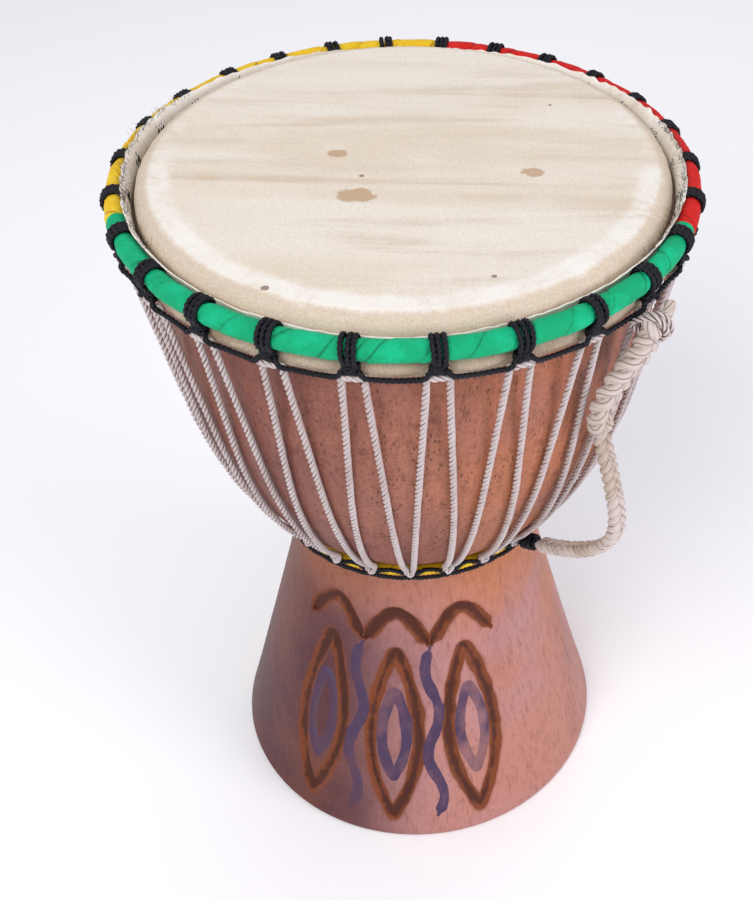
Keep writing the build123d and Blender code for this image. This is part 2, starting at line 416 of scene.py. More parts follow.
class Paintbox:
    """One material's shader, built from expressions."""

    def __init__(self, name: str) -> None:
        """Starts a material with only its output.

        Args:
            name: The material's name.
        """
        self.made = bpy.data.materials.new(name)
        self.made.use_nodes = True
        self.tree = self.made.node_tree
        self.tree.nodes.clear()
        self.output = self.tree.nodes.new("ShaderNodeOutputMaterial")

    def node(
        self, kind: str, settings: Optional[dict] = None, inputs: Optional[dict] = None, out: Any = 0
    ) -> Wire:
        """Adds one node.

        Args:
            kind: The node's type, without "ShaderNode".
            settings: Its properties, set first.
            inputs: Values or wires for its sockets, by name or number.
            out: Name or number of the output wanted.

        Returns:
            That output.
        """
        made = self.tree.nodes.new("ShaderNode" + kind)
        for key, value in (settings or {}).items():
            setattr(made, key, value)
        for key, value in (inputs or {}).items():
            if isinstance(value, Wire):
                self.tree.links.new(value.socket, made.inputs[key])
            elif isinstance(value, tuple) and len(value) == 3 and made.inputs[key].type == "RGBA":
                made.inputs[key].default_value = (*value, 1.0)
            else:
                made.inputs[key].default_value = value
        return Wire(self, made.outputs[out])

    def math(self, operation: str, a: Term, b: Term) -> Wire:
        """A Math node on two values."""
        return self.node("Math", {"operation": operation}, {0: a, 1: b})

    def step(self, value: Term, low: float, high: float) -> Wire:
        """A smooth step from 0 at low to 1 at high, or down where high is the lesser.

        Args:
            value: What is measured.
            low: Where the step begins.
            high: Where it ends.

        Returns:
            A value from 0 to 1.
        """
        settings = {"interpolation_type": "SMOOTHSTEP", "clamp": True}
        ends = {"From Min": low, "From Max": high, "To Min": 0.0, "To Max": 1.0}
        if high < low:
            ends = {"From Min": high, "From Max": low, "To Min": 1.0, "To Max": 0.0}
        return self.node("MapRange", settings, {"Value": value, **ends})

    def spot(self) -> Wire:
        """The place on the object, in metres."""
        return self.node("TexCoord", out="Object")

    def axis(self, number: int) -> Wire:
        """One coordinate of that place: 0 is x, 1 is y and 2 is height."""
        return self.node("SeparateXYZ", {}, {0: self.spot()}, number)

    def stretched(self, x: float, y: float, z: float) -> Wire:
        """The place on the object, scaled along each axis."""
        return self.node("VectorMath", {"operation": "MULTIPLY"}, {0: self.spot(), 1: (x, y, z)})

    def noise(self, where: Wire, detail: float = 3.0, rough: float = 0.55, warp: float = 0.0) -> Wire:
        """Cloudy noise, 0 to 1.

        Args:
            where: The scaled place.
            detail: Octaves.
            rough: Strength of the finer octaves.
            warp: How much the noise bends itself.

        Returns:
            The noise's value.
        """
        inputs = {"Vector": where, "Scale": 1.0, "Detail": detail, "Roughness": rough, "Distortion": warp}
        return self.node("TexNoise", {}, inputs, "Fac")

    def cells(self, where: Wire) -> Wire:
        """Distance to the nearest of many scattered points."""
        return self.node("TexVoronoi", {}, {"Vector": where, "Scale": 1.0}, "Distance")

    def tone(self, name: str) -> Wire:
        """A value carried by the mesh's points."""
        return self.node("Attribute", {"attribute_name": name}, out="Fac")

    def mix(self, share: Term, a: Union[Colour, Wire], b: Union[Colour, Wire]) -> Wire:
        """A colour between two colours.

        Args:
            share: 0 for the first, 1 for the second.
            a: First colour.
            b: Second colour.

        Returns:
            The mixed colour.
        """
        made = self.tree.nodes.new("ShaderNodeMix")
        made.data_type = "RGBA"
        for key, value in ((0, share), (6, a), (7, b)):
            if isinstance(value, Wire):
                self.tree.links.new(value.socket, made.inputs[key])
            else:
                made.inputs[key].default_value = (*value, 1.0) if isinstance(value, tuple) else value
        return Wire(self, made.outputs[2])

    def bump(self, height: Wire, depth: float, strength: float = 1.0) -> Wire:
        """Fine relief for the Normal socket.

        Args:
            height: Height from 0 to 1.
            depth: What a height of 1 is, metres.
            strength: How much of it shows.

        Returns:
            The bent normal.
        """
        return self.node("Bump", {}, {"Height": height, "Distance": depth, "Strength": strength}, "Normal")

    def finish(self, **sockets: Any) -> bpy.types.Material:
        """Ends the material with a Principled shader.

        Args:
            sockets: Its sockets, with underscores for spaces.

        Returns:
            The material.
        """
        named = {key.replace("_", " "): value for key, value in sockets.items()}
        shader = self.node("BsdfPrincipled", {}, named)
        self.tree.links.new(shader.socket, self.output.inputs["Surface"])
        return self.made


class Finish:
    """A surface finish that makes its material once."""

    name: str

    def paint(self, box: Paintbox) -> bpy.types.Material:
        """Builds the shader.

        Args:
            box: The empty material.

        Returns:
            The finished material.
        """
        raise NotImplementedError

    def material(self) -> bpy.types.Material:
        """The finish's material, made at its first use."""
        name = "finish_" + self.name
        return bpy.data.materials.get(name) or self.paint(Paintbox(name))


@dataclass(frozen=True)
class CarvedWood(Finish):
    """Oiled reddish hardwood with open pores, scorched grooves and painted lines.

    Attributes:
        deep: Colour of the dark figure.
        red: Main colour of the bowl.
        orange_figure_and_light: Lighter, more orange figure, and painted warm light on the drum's right side.
        rosy: Paler wood of the foot.
        left_side_shade: Painted shade, cool and dark, on the drum's left side.
        scorched: Wood burnt in the grooves.
        ember: Lighter scorching at a groove's floor.
        indigo: Painted lines.
        raw: Bare wood inside.
        pore: The pores.
        pale: Dusty, rubbed wood.
    """

    name: str = "carved_wood"
    deep: Colour = (0.120, 0.032, 0.015)
    red: Colour = (0.370, 0.142, 0.102)
    orange_figure_and_light: Colour = (0.500, 0.160, 0.038)
    rosy: Colour = (0.455, 0.222, 0.218)
    left_side_shade: Colour = (0.060, 0.008, 0.016)
    scorched: Colour = (0.072, 0.016, 0.007)
    ember: Colour = (0.200, 0.050, 0.015)
    indigo: Colour = (0.060, 0.030, 0.080)
    raw: Colour = (0.230, 0.110, 0.055)
    pore: Colour = (0.040, 0.012, 0.008)
    pale: Colour = (0.520, 0.280, 0.190)

    def paint(self, box: Paintbox) -> bpy.types.Material:
        """Figure and pores run up the drum; the bowl is darker and rougher than the foot."""
        figure = box.noise(box.stretched(16.0, 16.0, 3.0), 5.0, 0.6, 0.8)
        grain = box.noise(box.stretched(420.0, 420.0, 22.0), 3.0, 0.6)
        patches = box.noise(box.stretched(9.0, 9.0, 11.0), 3.0)
        mottle = box.noise(box.stretched(150.0, 150.0, 95.0), 4.0, 0.7)
        grit = box.noise(box.stretched(700.0, 700.0, 480.0), 3.0, 0.75)
        pores = box.cells(box.stretched(520.0, 520.0, 190.0))
        across, height = box.axis(0), box.axis(2)
        bowl = box.step(height, 0.196, 0.206)
        inside = box.tone("inside")
        body = box.mix(bowl, self.rosy, self.red)
        # Painted shade: the drum's left side, most of all on the foot, is mixed towards a cool dark colour.
        shade = box.step(across + 0.07 * (patches - 0.5), 0.030, -0.066) * (0.96 - 0.42 * bowl)
        body = box.mix(shade, body, self.left_side_shade)
        body = box.mix(box.step(figure, 0.50, 0.74) * (0.30 + 0.35 * bowl), body, self.deep)
        # Painted light: the drum's right side gets more of the lighter orange colour, in its patches and in
        # the band at the top of the foot.
        right_side_light = box.step(across, 0.000, 0.050) * (1.0 - 0.6 * bowl * box.step(across, 0.085, 0.120))
        low = box.step(height, 0.160, 0.070)
        warmth = 0.16 + (0.62 - 0.26 * bowl - 0.40 * low) * right_side_light
        body = box.mix(box.step(patches, 0.36, 0.62) * warmth, body, self.orange_figure_and_light)
        top = box.step(height, 0.140, 0.190) * box.step(height, 0.196, 0.190)
        body = box.mix(top * (0.40 + 0.45 * right_side_light), body, self.orange_figure_and_light)
        body = box.mix(box.step(grain, 0.48, 0.78) * 0.42, body, self.deep)
        body = box.mix(box.step(mottle, 0.50, 0.72) * (0.22 + 0.40 * bowl), body, self.deep)
        body = box.mix(box.step(grit, 0.52, 0.66) * (0.10 + 0.34 * bowl), body, self.deep)
        body = box.mix(box.step(grit, 0.44, 0.34) * (0.12 + 0.10 * bowl), body, self.pale)
        sparse = box.step(box.noise(box.stretched(60.0, 60.0, 50.0), 2.0), 0.42, 0.60)
        speck = box.step(pores, 0.28, 0.14) * sparse * (0.18 + 0.45 * bowl)
        body = box.mix(speck, body, self.pore)
        body = box.mix(inside, body, self.raw)
        groove, line = box.tone("groove"), box.tone("line")
        burn = box.noise(box.stretched(260.0, 260.0, 110.0), 4.0, 0.7)
        side = box.noise(box.stretched(34.0, 34.0, 26.0), 2.0)
        burnt = box.mix(box.step(0.45 * burn + 0.55 * side + 0.5 * (groove - 0.7), 0.40, 0.58), self.ember,
                        self.scorched)
        smoke = box.step(groove + 0.35 * (burn - 0.5), 0.02, 0.40) * 0.35
        body = box.mix(smoke, body, self.ember)
        body = box.mix(box.step(groove + 0.22 * (burn - 0.5), 0.30, 0.42), body, burnt)
        wet = box.step(line + 0.25 * (burn - 0.5), 0.38, 0.52) * (0.80 + 0.20 * box.step(mottle, 0.30, 0.55))
        wet = wet * (0.55 + 0.45 * box.step(side, 0.34, 0.52))
        body = box.mix(wet, body, self.indigo)
        relief = 0.5 * grain + 0.9 * mottle * (0.25 + 0.75 * bowl) - 1.0 * speck
        relief = relief + 0.7 * burn * groove + 0.4 * grit
        return box.finish(
            Base_Color=body,
            Roughness=0.40 + 0.20 * mottle + 0.20 * groove - 0.06 * line + 0.20 * inside,
            Normal=box.bump(relief, 0.00060, 0.9),
            Specular_IOR_Level=0.26,
            Coat_Weight=0.05 * (1.0 - inside),
            Coat_Roughness=0.22,
        )


@dataclass(frozen=True)
class GoatSkin(Finish):
    """Shaved skin: cream, faintly banded, powdery along its edge and browner on the turn.

    Attributes:
        cream: Main colour.
        bone: Paler bands and powder.
        tan: Faint brown bands.
        hide: The turned edge.
        roll_shade_and_dirt: The darker roll under the crown: dirt on the hide and painted shade.
        root: Hair roots and small holes.
        chalk: The powdery band near the edge.
        worn: Brown patches.
        patches: Their middles and half-sizes across and along, millimetres.
        dots: Small dark marks' middles and radii, millimetres.
    """

    name: str = "goat_skin"
    cream: Colour = (0.690, 0.600, 0.475)
    bone: Colour = (0.790, 0.745, 0.670)
    tan: Colour = (0.500, 0.365, 0.240)
    hide: Colour = (0.620, 0.515, 0.395)
    roll_shade_and_dirt: Colour = (0.360, 0.245, 0.150)
    root: Colour = (0.190, 0.110, 0.060)
    chalk: Colour = (0.860, 0.830, 0.780)
    worn: Colour = (0.430, 0.245, 0.110)
    patches: tuple = ((-33.8, 5.1, 5.2, 3.4), (-21.7, -33.5, 10.0, 6.0), (61.8, -10.1, 5.5, 4.5))
    dots: tuple = ((72.4, 57.8, 1.0), (-53.9, -109.4, 1.7), (-20.0, -16.0, 1.1), (44.0, -98.0, 1.2))

    @staticmethod
    def mark(box: Paintbox, ragged: Wire, x: float, y: float, wide: float, deep: float) -> Wire:
        """How far inside an oval mark on the head the surface is.

        Args:
            box: The material.
            ragged: Noise that breaks the mark's edge.
            x: Middle, millimetres.
            y: Middle, millimetres.
            wide: Half-size along x, millimetres.
            deep: Half-size along y, millimetres.

        Returns:
            1 inside the mark and 0 outside.
        """
        scaled = box.stretched(1.0 / (wide * MM), 1.0 / (deep * MM), 0.0)
        centre = (x / wide, y / deep, 0.0)
        away = box.node("VectorMath", {"operation": "DISTANCE"}, {0: scaled, 1: centre}, "Value")
        return box.step(away + 1.6 * (ragged - 0.5), 1.1, 0.85)

    def paint(self, box: Paintbox) -> bpy.types.Material:
        """Bands run across the head; powder and hide come from the mesh's tones."""
        bands = box.noise(box.stretched(5.0, 60.0, 5.0), 4.0, 0.6, 0.5)
        broad = box.noise(box.stretched(4.0, 26.0, 4.0), 3.0, 0.55, 0.4)
        cloud = box.noise(box.stretched(24.0, 24.0, 24.0), 3.0, 0.6)
        ragged = box.noise(box.stretched(160.0, 160.0, 160.0), 4.0, 0.65)
        grit = box.noise(box.stretched(900.0, 900.0, 900.0), 3.0, 0.75)
        weave = box.noise(box.stretched(650.0, 1150.0, 650.0), 2.0, 0.6)
        follicle = box.cells(box.stretched(620.0, 900.0, 620.0))
        skin = box.mix(box.step(broad, 0.38, 0.64) * 0.70, self.cream, self.bone)
        skin = box.mix(box.step(bands, 0.48, 0.72) * 0.55, skin, self.tan)
        skin = box.mix(box.step(cloud, 0.46, 0.70) * 0.35, skin, self.bone)
        powder, hide = box.tone("powder"), box.tone("hide")
        skin = box.mix(box.step(hide + 0.5 * (ragged - 0.5), 0.10, 0.80), skin, self.hide)
        # Painted shade and dirt: the skin below the top of the roll, under the crown ring, is darkened.
        low = box.step(box.axis(2), 0.400, 0.395)
        skin = box.mix(low * (0.45 + 0.40 * box.step(cloud, 0.35, 0.65)), skin, self.roll_shade_and_dirt)
        drift = box.noise(box.stretched(38.0, 38.0, 38.0), 4.0, 0.65, 0.6)
        chalk = box.step(powder + 1.7 * (drift - 0.5) + 0.7 * (ragged - 0.5), 0.28, 1.12)
        skin = box.mix(chalk * 0.86, skin, self.chalk)
        skin = box.mix(box.step(weave, 0.50, 0.66) * (0.30 - 0.15 * chalk), skin, self.tan)
        skin = box.mix(box.step(grit, 0.48, 0.36) * 0.35, skin, self.bone)
        roots = box.step(follicle, 0.24, 0.10) * (0.05 + 0.40 * hide) * box.step(ragged, 0.35, 0.60)
        skin = box.mix(roots, skin, self.root)
        for x, y, wide, deep in self.patches:
            skin = box.mix(self.mark(box, ragged, x, y, wide, deep) * 0.72, skin, self.worn)
        for x, y, size in self.dots:
            skin = box.mix(self.mark(box, ragged, x, y, size, size) * 0.80, skin, self.root)
        relief = 0.55 * grit + 0.5 * bands + 0.5 * weave + 0.7 * roots + 0.5 * ragged * powder
        return box.finish(
            Base_Color=skin,
            Roughness=0.52 + 0.22 * grit + 0.12 * powder,
            Normal=box.bump(relief, 0.00028, 0.8),
            Subsurface_Weight=0.06,
            Subsurface_Radius=(0.004, 0.002, 0.001),
            Subsurface_Scale=0.5,
        )


@dataclass(frozen=True)
class ThinCloth(Finish):
    """Thin dyed cotton, wound tight.

    Attributes:
        name: The material's name.
        dye: Main colour.
        worn: Faded colour, in random patches.
        shade: Painted shade in the folds and creases.
    """

    name: str
    dye: Colour
    worn: Colour
    shade: Colour

    def paint(self, box: Paintbox) -> bpy.types.Material:
        """A fine weave, faded in patches, with painted shade in the folds and creases."""
        weave = box.cells(box.stretched(1500.0, 1500.0, 1500.0))
        cloud = box.noise(box.stretched(70.0, 70.0, 110.0), 4.0, 0.6)
        crease = box.noise(box.stretched(330.0, 330.0, 200.0), 3.0, 0.6, 1.2)
        fold = box.tone("fold")
        colour = box.mix(box.step(cloud, 0.40, 0.70) * 0.55, self.dye, self.worn)
        # Painted shade where the strip tucks under the next lap and where a cord pinches it, and in random
        # creases.
        colour = box.mix(box.step(fold, 0.42, 0.05) * 0.75, colour, self.shade)
        colour = box.mix(box.step(crease, 0.58, 0.74) * 0.30, colour, self.shade)
        return box.finish(
            Base_Color=colour,
            Roughness=0.62 + 0.20 * weave,
            Normal=box.bump(0.35 * weave + 1.0 * crease, 0.00045, 0.9),
            Specular_IOR_Level=0.22,
        )


@dataclass(frozen=True)
class Cord(Finish):
    """Twisted or plaited cord.

    Attributes:
        name: The material's name.
        crest: Colour on the strands.
        valley_shade: Painted shade between the strands.
        soiled: Colour of the dirtier stretches.
        rough: Roughness.
        fibre: Depth of the fibres, metres.
        sheen: Sheen of the fibres.
    """

    name: str
    crest: Colour
    valley_shade: Colour
    soiled: Colour
    rough: float = 0.7
    fibre: float = 0.00025
    sheen: float = 0.1

    def paint(self, box: Paintbox) -> bpy.types.Material:
        """Painted shade in the grooves between strands, with fine fibres and uneven dirt."""
        fibres = box.noise(box.stretched(2100.0, 2100.0, 700.0), 3.0, 0.7)
        dirt = box.noise(box.stretched(45.0, 45.0, 30.0), 4.0, 0.6)
        crest = box.tone("crest")
        colour = box.mix(box.step(dirt, 0.44, 0.72) * 0.6, self.crest, self.soiled)
        # Painted shade in the grooves between the strands.
        colour = box.mix(box.step(crest + 0.30 * (fibres - 0.5), 0.50, 0.02), colour, self.valley_shade)
        return box.finish(
            Base_Color=colour,
            Roughness=self.rough + 0.15 * (fibres - 0.5),
            Normal=box.bump(fibres, self.fibre, 0.8),
            Specular_IOR_Level=0.30,
            Sheen_Weight=self.sheen,
            Sheen_Roughness=0.4,
        )


@dataclass(frozen=True)
class PlainRod(Finish):
    """Drawn steel rod with a little rust."""

    name: str = "plain_rod"

    def paint(self, box: Paintbox) -> bpy.types.Material:
        """Grey steel, browner where it has rusted."""
        rust = box.noise(box.stretched(90.0, 90.0, 90.0), 5.0, 0.65)
        spread = box.step(rust, 0.48, 0.66)
        return box.finish(
            Base_Color=box.mix(spread, (0.42, 0.41, 0.39), (0.20, 0.075, 0.030)),
            Metallic=1.0 - 0.8 * spread,
            Roughness=0.35 + 0.4 * spread,
            Normal=box.bump(rust, 0.0002, 0.5),
        )


@dataclass(frozen=True)
class PaleFloor(Finish):
    """A matt pale studio floor."""

    name: str = "pale_floor"

    def paint(self, box: Paintbox) -> bpy.types.Material:
        """Almost white, with the faintest mottle."""
        cloud = box.noise(box.stretched(3.0, 3.0, 3.0), 2.0)
        return box.finish(Base_Color=box.mix(cloud, (0.95, 0.95, 0.955), (0.97, 0.97, 0.97)), Roughness=0.85)


GREEN = ThinCloth("green_cloth", (0.002, 0.360, 0.150), (0.004, 0.560, 0.290), (0.001, 0.120, 0.050))
YELLOW = ThinCloth("yellow_cloth", (0.760, 0.470, 0.010), (0.850, 0.640, 0.060), (0.340, 0.150, 0.004))
RED = ThinCloth("red_cloth", (0.560, 0.008, 0.006), (0.720, 0.030, 0.020), (0.170, 0.003, 0.002))
BLACK_CORD = Cord(
    "black_cord", (0.003, 0.003, 0.009), (0.001, 0.001, 0.002), (0.009, 0.008, 0.018), 0.50, 0.0003, 0.0
)
WHITE_ROPE = Cord("white_rope", (0.620, 0.540, 0.530), (0.100, 0.045, 0.036), (0.460, 0.350, 0.325))
CREAM_BRAID = Cord("cream_braid", (0.600, 0.520, 0.480), (0.250, 0.165, 0.115), (0.440, 0.335, 0.250), 0.6)
DARK_HAIR = Cord(
    "dark_hair", (0.060, 0.035, 0.022), (0.030, 0.018, 0.012), (0.120, 0.075, 0.045), 0.5, 0.0001
)


# ---------------------------------------------------------------- the drum's own sizes


@dataclass(frozen=True)
class Lacing:
    """Where the hitches stand, and what they are laced round. Millimetres and degrees.

    Attributes:
        count: How many hitches.
        first: Even azimuth of the first, just right of the front.
        spread: Largest shift of a hitch from even spacing.
    """

    count: int = 26
    first: float = 278.0
    spread: float = 4.3

    def hitches(self) -> list[float]:
        """Azimuth of each hitch, and of the first once more at the end."""
        even = [self.first + 360.0 * k / self.count for k in range(self.count + 1)]
        return [a + self.spread * math.sin(math.radians(a - 270.0)) for a in even]

    def middles(self) -> list[float]:
        """Azimuth half-way between each hitch and the next."""
        at = self.hitches()
        return [(a + b) / 2 for a, b in zip(at, at[1:])]


@dataclass(frozen=True)
class BowlCurve:
    """The bowl's outside, a quarter of an ellipse below a straight rim. Millimetres."""

    rim: float = 129.6
    height: float = 385.0
    across: float = 87.0
    down: float = 195.0

    def point(self, angle: float, lift: float = 0.0) -> tuple[float, float]:
        """Radius and height at an angle along the ellipse, lifted off the wood.

        Args:
            angle: Degrees below the rim, along the ellipse.
            lift: Distance from the wood, millimetres.

        Returns:
            The radius and the height.
        """
        c, s = math.cos(math.radians(angle)), math.sin(math.radians(angle))
        length = math.hypot(c / self.across, s / self.down)
        radius = self.rim - self.across + self.across * c + lift * c / self.across / length
        return radius, self.height - self.down * s - lift * s / self.down / length


def ring_size(node: str, section: float) -> tuple[float, float]:
    """Radius to the middle of a round ring's section, and its height, from its box.

    Args:
        node: The ring's name.
        section: Radius of its section, millimetres.

    Returns:
        Both in millimetres.
    """
    low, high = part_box(node)
    return (high.x - low.x) / 2 / MM - section, (high.z + low.z) / 2 / MM


class Mark(Enum):
    """How a line of the ornament is made."""

    GROOVE = "cut and scorched"
    LINE = "scratched and painted"


@dataclass(frozen=True)
class Stroke:
    """One line of the ornament.

    Attributes:
        mark: How it is made.
        width: Its width, millimetres.
        route: Its points, as azimuth in degrees and height in millimetres.
    """

    mark: Mark
    width: float
    route: tuple[tuple[float, float], ...]


@dataclass(frozen=True)
class Ornament:
    """A plain repeating pattern: upright leaves under scallops, waves between. Degrees, millimetres."""

    middle: float = 264.0
    spacing: float = 29.0
    leaves: int = 3
    leaf_half: float = 9.0
    low: float = 16.0
    high: float = 136.0
    inner: float = 0.52
    wave_reach: float = 2.6
    waves: float = 2.0
    scallop_low: float = 138.0
    scallop_rise: float = 22.0
    groove_width: float = 8.4
    line_width: float = 6.4

    def leaf(self, azimuth: float, share: float) -> tuple[tuple[float, float], ...]:
        """Closed outline of one pointed leaf, shrunk towards its middle by a share."""
        rise = np.linspace(-1.0, 1.0, 11)
        heights = (self.low + self.high) / 2 + share * (self.high - self.low) / 2 * rise
        reach = share * self.leaf_half * (1.0 - rise**2)
        left, right = list(zip(azimuth - reach, heights)), list(zip(azimuth + reach, heights))
        return (*left, *right[-2:0:-1], left[0])

    def wave(self, azimuth: float) -> tuple[tuple[float, float], ...]:
        """One upright wavy line."""
        share = np.linspace(0.0, 1.0, 17)
        across = azimuth + self.wave_reach * np.sin(share * self.waves * TURN)
        return tuple(zip(across, self.low + (self.high - self.low) * share))

    def scallop(self, azimuth: float) -> tuple[tuple[float, float], ...]:
        """The arch over one leaf."""
        share = np.linspace(0.0, 1.0, 9)
        across = azimuth + (share - 0.5) * self.spacing * 0.96
        return tuple(zip(across, self.scallop_low + self.scallop_rise * np.sin(math.pi * share)))

    def strokes(self) -> list[Stroke]:
        """Every line of the pattern."""
        half = (self.leaves - 1) / 2
        lines = []
        for k in range(self.leaves):
            azimuth = self.middle + (k - half) * self.spacing
            lines.append(Stroke(Mark.GROOVE, self.groove_width, self.leaf(azimuth, 1.0)))
            lines.append(Stroke(Mark.GROOVE, self.groove_width, self.scallop(azimuth)))
            lines.append(Stroke(Mark.LINE, self.line_width, self.leaf(azimuth, self.inner)))
        for k in range(self.leaves - 1):
            azimuth = self.middle + (k + 0.5 - half) * self.spacing
            lines.append(Stroke(Mark.LINE, self.line_width, self.wave(azimuth)))
        return lines


# ---------------------------------------------------------------- sub-assemblies


@dataclass
class Shell:
    """Bowl, neck and foot, turned to shape, with the ornament cut into the foot. Millimetres."""

    curve: BowlCurve = field(default_factory=BowlCurve)
    ornament: Ornament = field(default_factory=Ornament)
    foot_side: tuple = ((113.3, 2.6), (92.2, 82.0), (66.5, 183.0))
    neck_angle: float = 69.0
    crest: float = 409.6
    crest_radius: float = 122.0
    bore: float = 117.0
    inside_across: float = 74.4
    inside_down: float = 178.0
    throat: tuple = (47.0, 180.0)
    foot_bore: float = 99.5
    floor_edge: float = 2.6
    groove_depth: float = 2.2
    line_depth: float = 0.5
    front: tuple = (210.0, 322.0)
    fine_step: float = 0.36
    coarse_step: float = 1.2
    row: float = 0.75
    marked_to: float = 178.0

    def foot_radius(self, height: np.ndarray) -> np.ndarray:
        """Radius of the foot's flared side at a height."""
        radii, heights = zip(*self.foot_side)
        return np.polyval(np.polyfit(heights, radii, 2), height)

    def outside(self) -> np.ndarray:
        """Outside profile from the floor up to the crest of the rim, as radius and height."""
        corner = np.radians(np.linspace(-90.0, 0.0, 6)[:-1])
        edge = self.floor_edge
        low = arc((self.foot_side[0][0] - edge, edge), edge, corner)
        heights = np.arange(edge, self.foot_side[-1][1] - 3.0, self.row)
        side = np.stack([self.foot_radius(heights), heights], 1)
        bowl = np.array([self.curve.point(a) for a in np.linspace(self.neck_angle, 0.0, 170)])
        joined = np.vstack([side[-14:], [self.foot_side[-1]], [(68.3, 193.4)], bowl[:14]])
        neck = self._eased(joined)
        bend = np.radians(np.linspace(0.0, 90.0, 9))
        edge_radius = self.curve.rim - self.crest_radius
        centre = self.crest - edge_radius
        rim = arc((self.crest_radius, centre), edge_radius, bend)
        return np.vstack([low, side[:-14], neck, bowl[14:], rim])

    @staticmethod
    def _eased(points: np.ndarray) -> np.ndarray:
        """Rounds the neck's corners, with evenly spaced points."""
        flat = np.column_stack([points, np.zeros(len(points))])
        line = even_steps(flat, 0.75)
        for _ in range(60):
            line[1:-1] = 0.25 * line[:-2] + 0.5 * line[1:-1] + 0.25 * line[2:]
        return line[:, :2]

    def inside(self) -> np.ndarray:
        """Inside profile from the rim down through the throat to the foot's mouth."""
        bend = np.radians(np.linspace(90.0, 180.0, 6))
        edge = self.crest_radius - self.bore
        rim = arc((self.crest_radius, self.crest - edge), edge, bend)
        middle = self.bore - self.inside_across
        angle = np.radians(np.linspace(0.0, 86.6, 90))
        bowl = np.stack([
            middle + self.inside_across * np.cos(angle),
            self.curve.height - self.inside_down * np.sin(angle),
        ], 1)
        share = np.linspace(0.0, 1.0, 90)[:, None]
        foot = np.array([self.throat]) * (1 - share) + np.array([[self.foot_bore, 0.0]]) * share
        rest = np.linspace(self.foot_bore, self.foot_side[0][0] - self.floor_edge, 6)[1:-1]
        return np.vstack([rim[1:], bowl, foot, np.column_stack([rest, 0 * rest])])

    def azimuths(self) -> np.ndarray:
        """Columns of the mesh, closer together over the ornament."""
        start, end = self.front
        fine = np.arange(start, end, self.fine_step)
        return np.radians(np.concatenate([fine, np.arange(end, start + 360.0, self.coarse_step)]))

    def strokes(self, mark: Mark) -> tuple[KDTree, list[float]]:
        """The ornament's lines as points on the wood.

        Args:
            mark: Which lines.

        Returns:
            A tree of the points, and half the line's width at each.
        """
        points, halves = [], []
        for number, stroke in enumerate(s for s in self.ornament.strokes() if s.mark is mark):
            corners = np.array([place(a, self.foot_radius(z), z) for a, z in stroke.route])
            line = even_steps(corner_cut(corners, 4), 0.6 * MM)
            along = lengths(line) / MM
            ends = np.minimum(along, along[-1] - along)
            closed = stroke.route[0] == stroke.route[-1]
            taper = np.ones(len(line)) if closed else np.clip(ends / 5.0, 0.3, 1.0)
            wobble = 1.0 + 0.14 * Ripples(40 + number).at(along, 0.0 * along, 0.25)
            points.extend(line)
            halves.extend(stroke.width / 2 * taper * wobble)
        tree = KDTree(len(points))
        for k, point in enumerate(points):
            tree.insert(point, k)
        tree.balance()
        return tree, halves

    def closeness(self, rings: np.ndarray, mark: Mark) -> np.ndarray:
        """How far inside a line each point is: 1 on its middle, 0 at its edge, less outside."""
        tree, halves = self.strokes(mark)
        near = np.full(rings.shape[:2], -3.0)
        azimuth = np.degrees(np.arctan2(rings[..., 1], rings[..., 0])) % 360.0
        where = (rings[..., 2] < self.marked_to * MM) & (azimuth > 208.0) & (azimuth < 320.0)
        where &= np.hypot(rings[..., 0], rings[..., 1]) > 0.9 * self.foot_radius(rings[..., 2] / MM) * MM
        for i, j in zip(*np.nonzero(where)):
            _, index, distance = tree.find(rings[i, j])
            near[i, j] = 1.0 - distance / MM / halves[index]
        return near

    def build(self) -> None:
        """Makes the shell."""
        outer, inner = self.outside(), self.inside()
        profile = np.vstack([outer, inner])
        turned = self.azimuths()
        radius, height = profile[:, :1], profile[:, 1:]
        outward = outward_of(profile)
        is_inside = (np.arange(len(profile)) >= len(outer)).astype(float)[:, None] * np.ones_like(turned)
        flat = turned_rings(radius, height, turned)
        groove = self.closeness(flat, Mark.GROOVE)
        line = self.closeness(flat, Mark.LINE)
        shape = 0.30 * Ripples(3).around(turned[None, :], height, 9, 0.03)
        tool = 0.07 * Ripples(4, 24).around(turned[None, :], height, 90, 0.35)
        hollow = 0.45 * Ripples(5, 20).around(turned[None, :], height, 30, 0.10)
        rise = np.where(is_inside > 0.5, hollow, shape + tool)
        rise = rise - self.groove_depth * np.clip(1.0 - (1.0 - groove) ** 2, 0.0, 1.0) * (groove > 0)
        rise = rise - self.line_depth * np.clip(2.0 * line, 0.0, 1.0)
        calm = np.clip((height - 1.0) / 4.0, 0.0, 1.0) * np.clip((self.crest - 4.0 - height) / 6.0, 0.0, 1.0)
        rise = rise * calm
        r, z = radius + outward[:, :1] * rise, height + outward[:, 1:] * rise
        batch = MeshBatch()
        batch.add(turned_rings(r, z, turned), True, groove=np.clip(0.35 + 0.65 * groove, 0.0, 1.0),
                  line=np.clip(0.5 + line, 0.0, 1.0), inside=is_inside)
        batch.piece("carved_shell", CarvedWood(), DRUM, "wood", "shell")


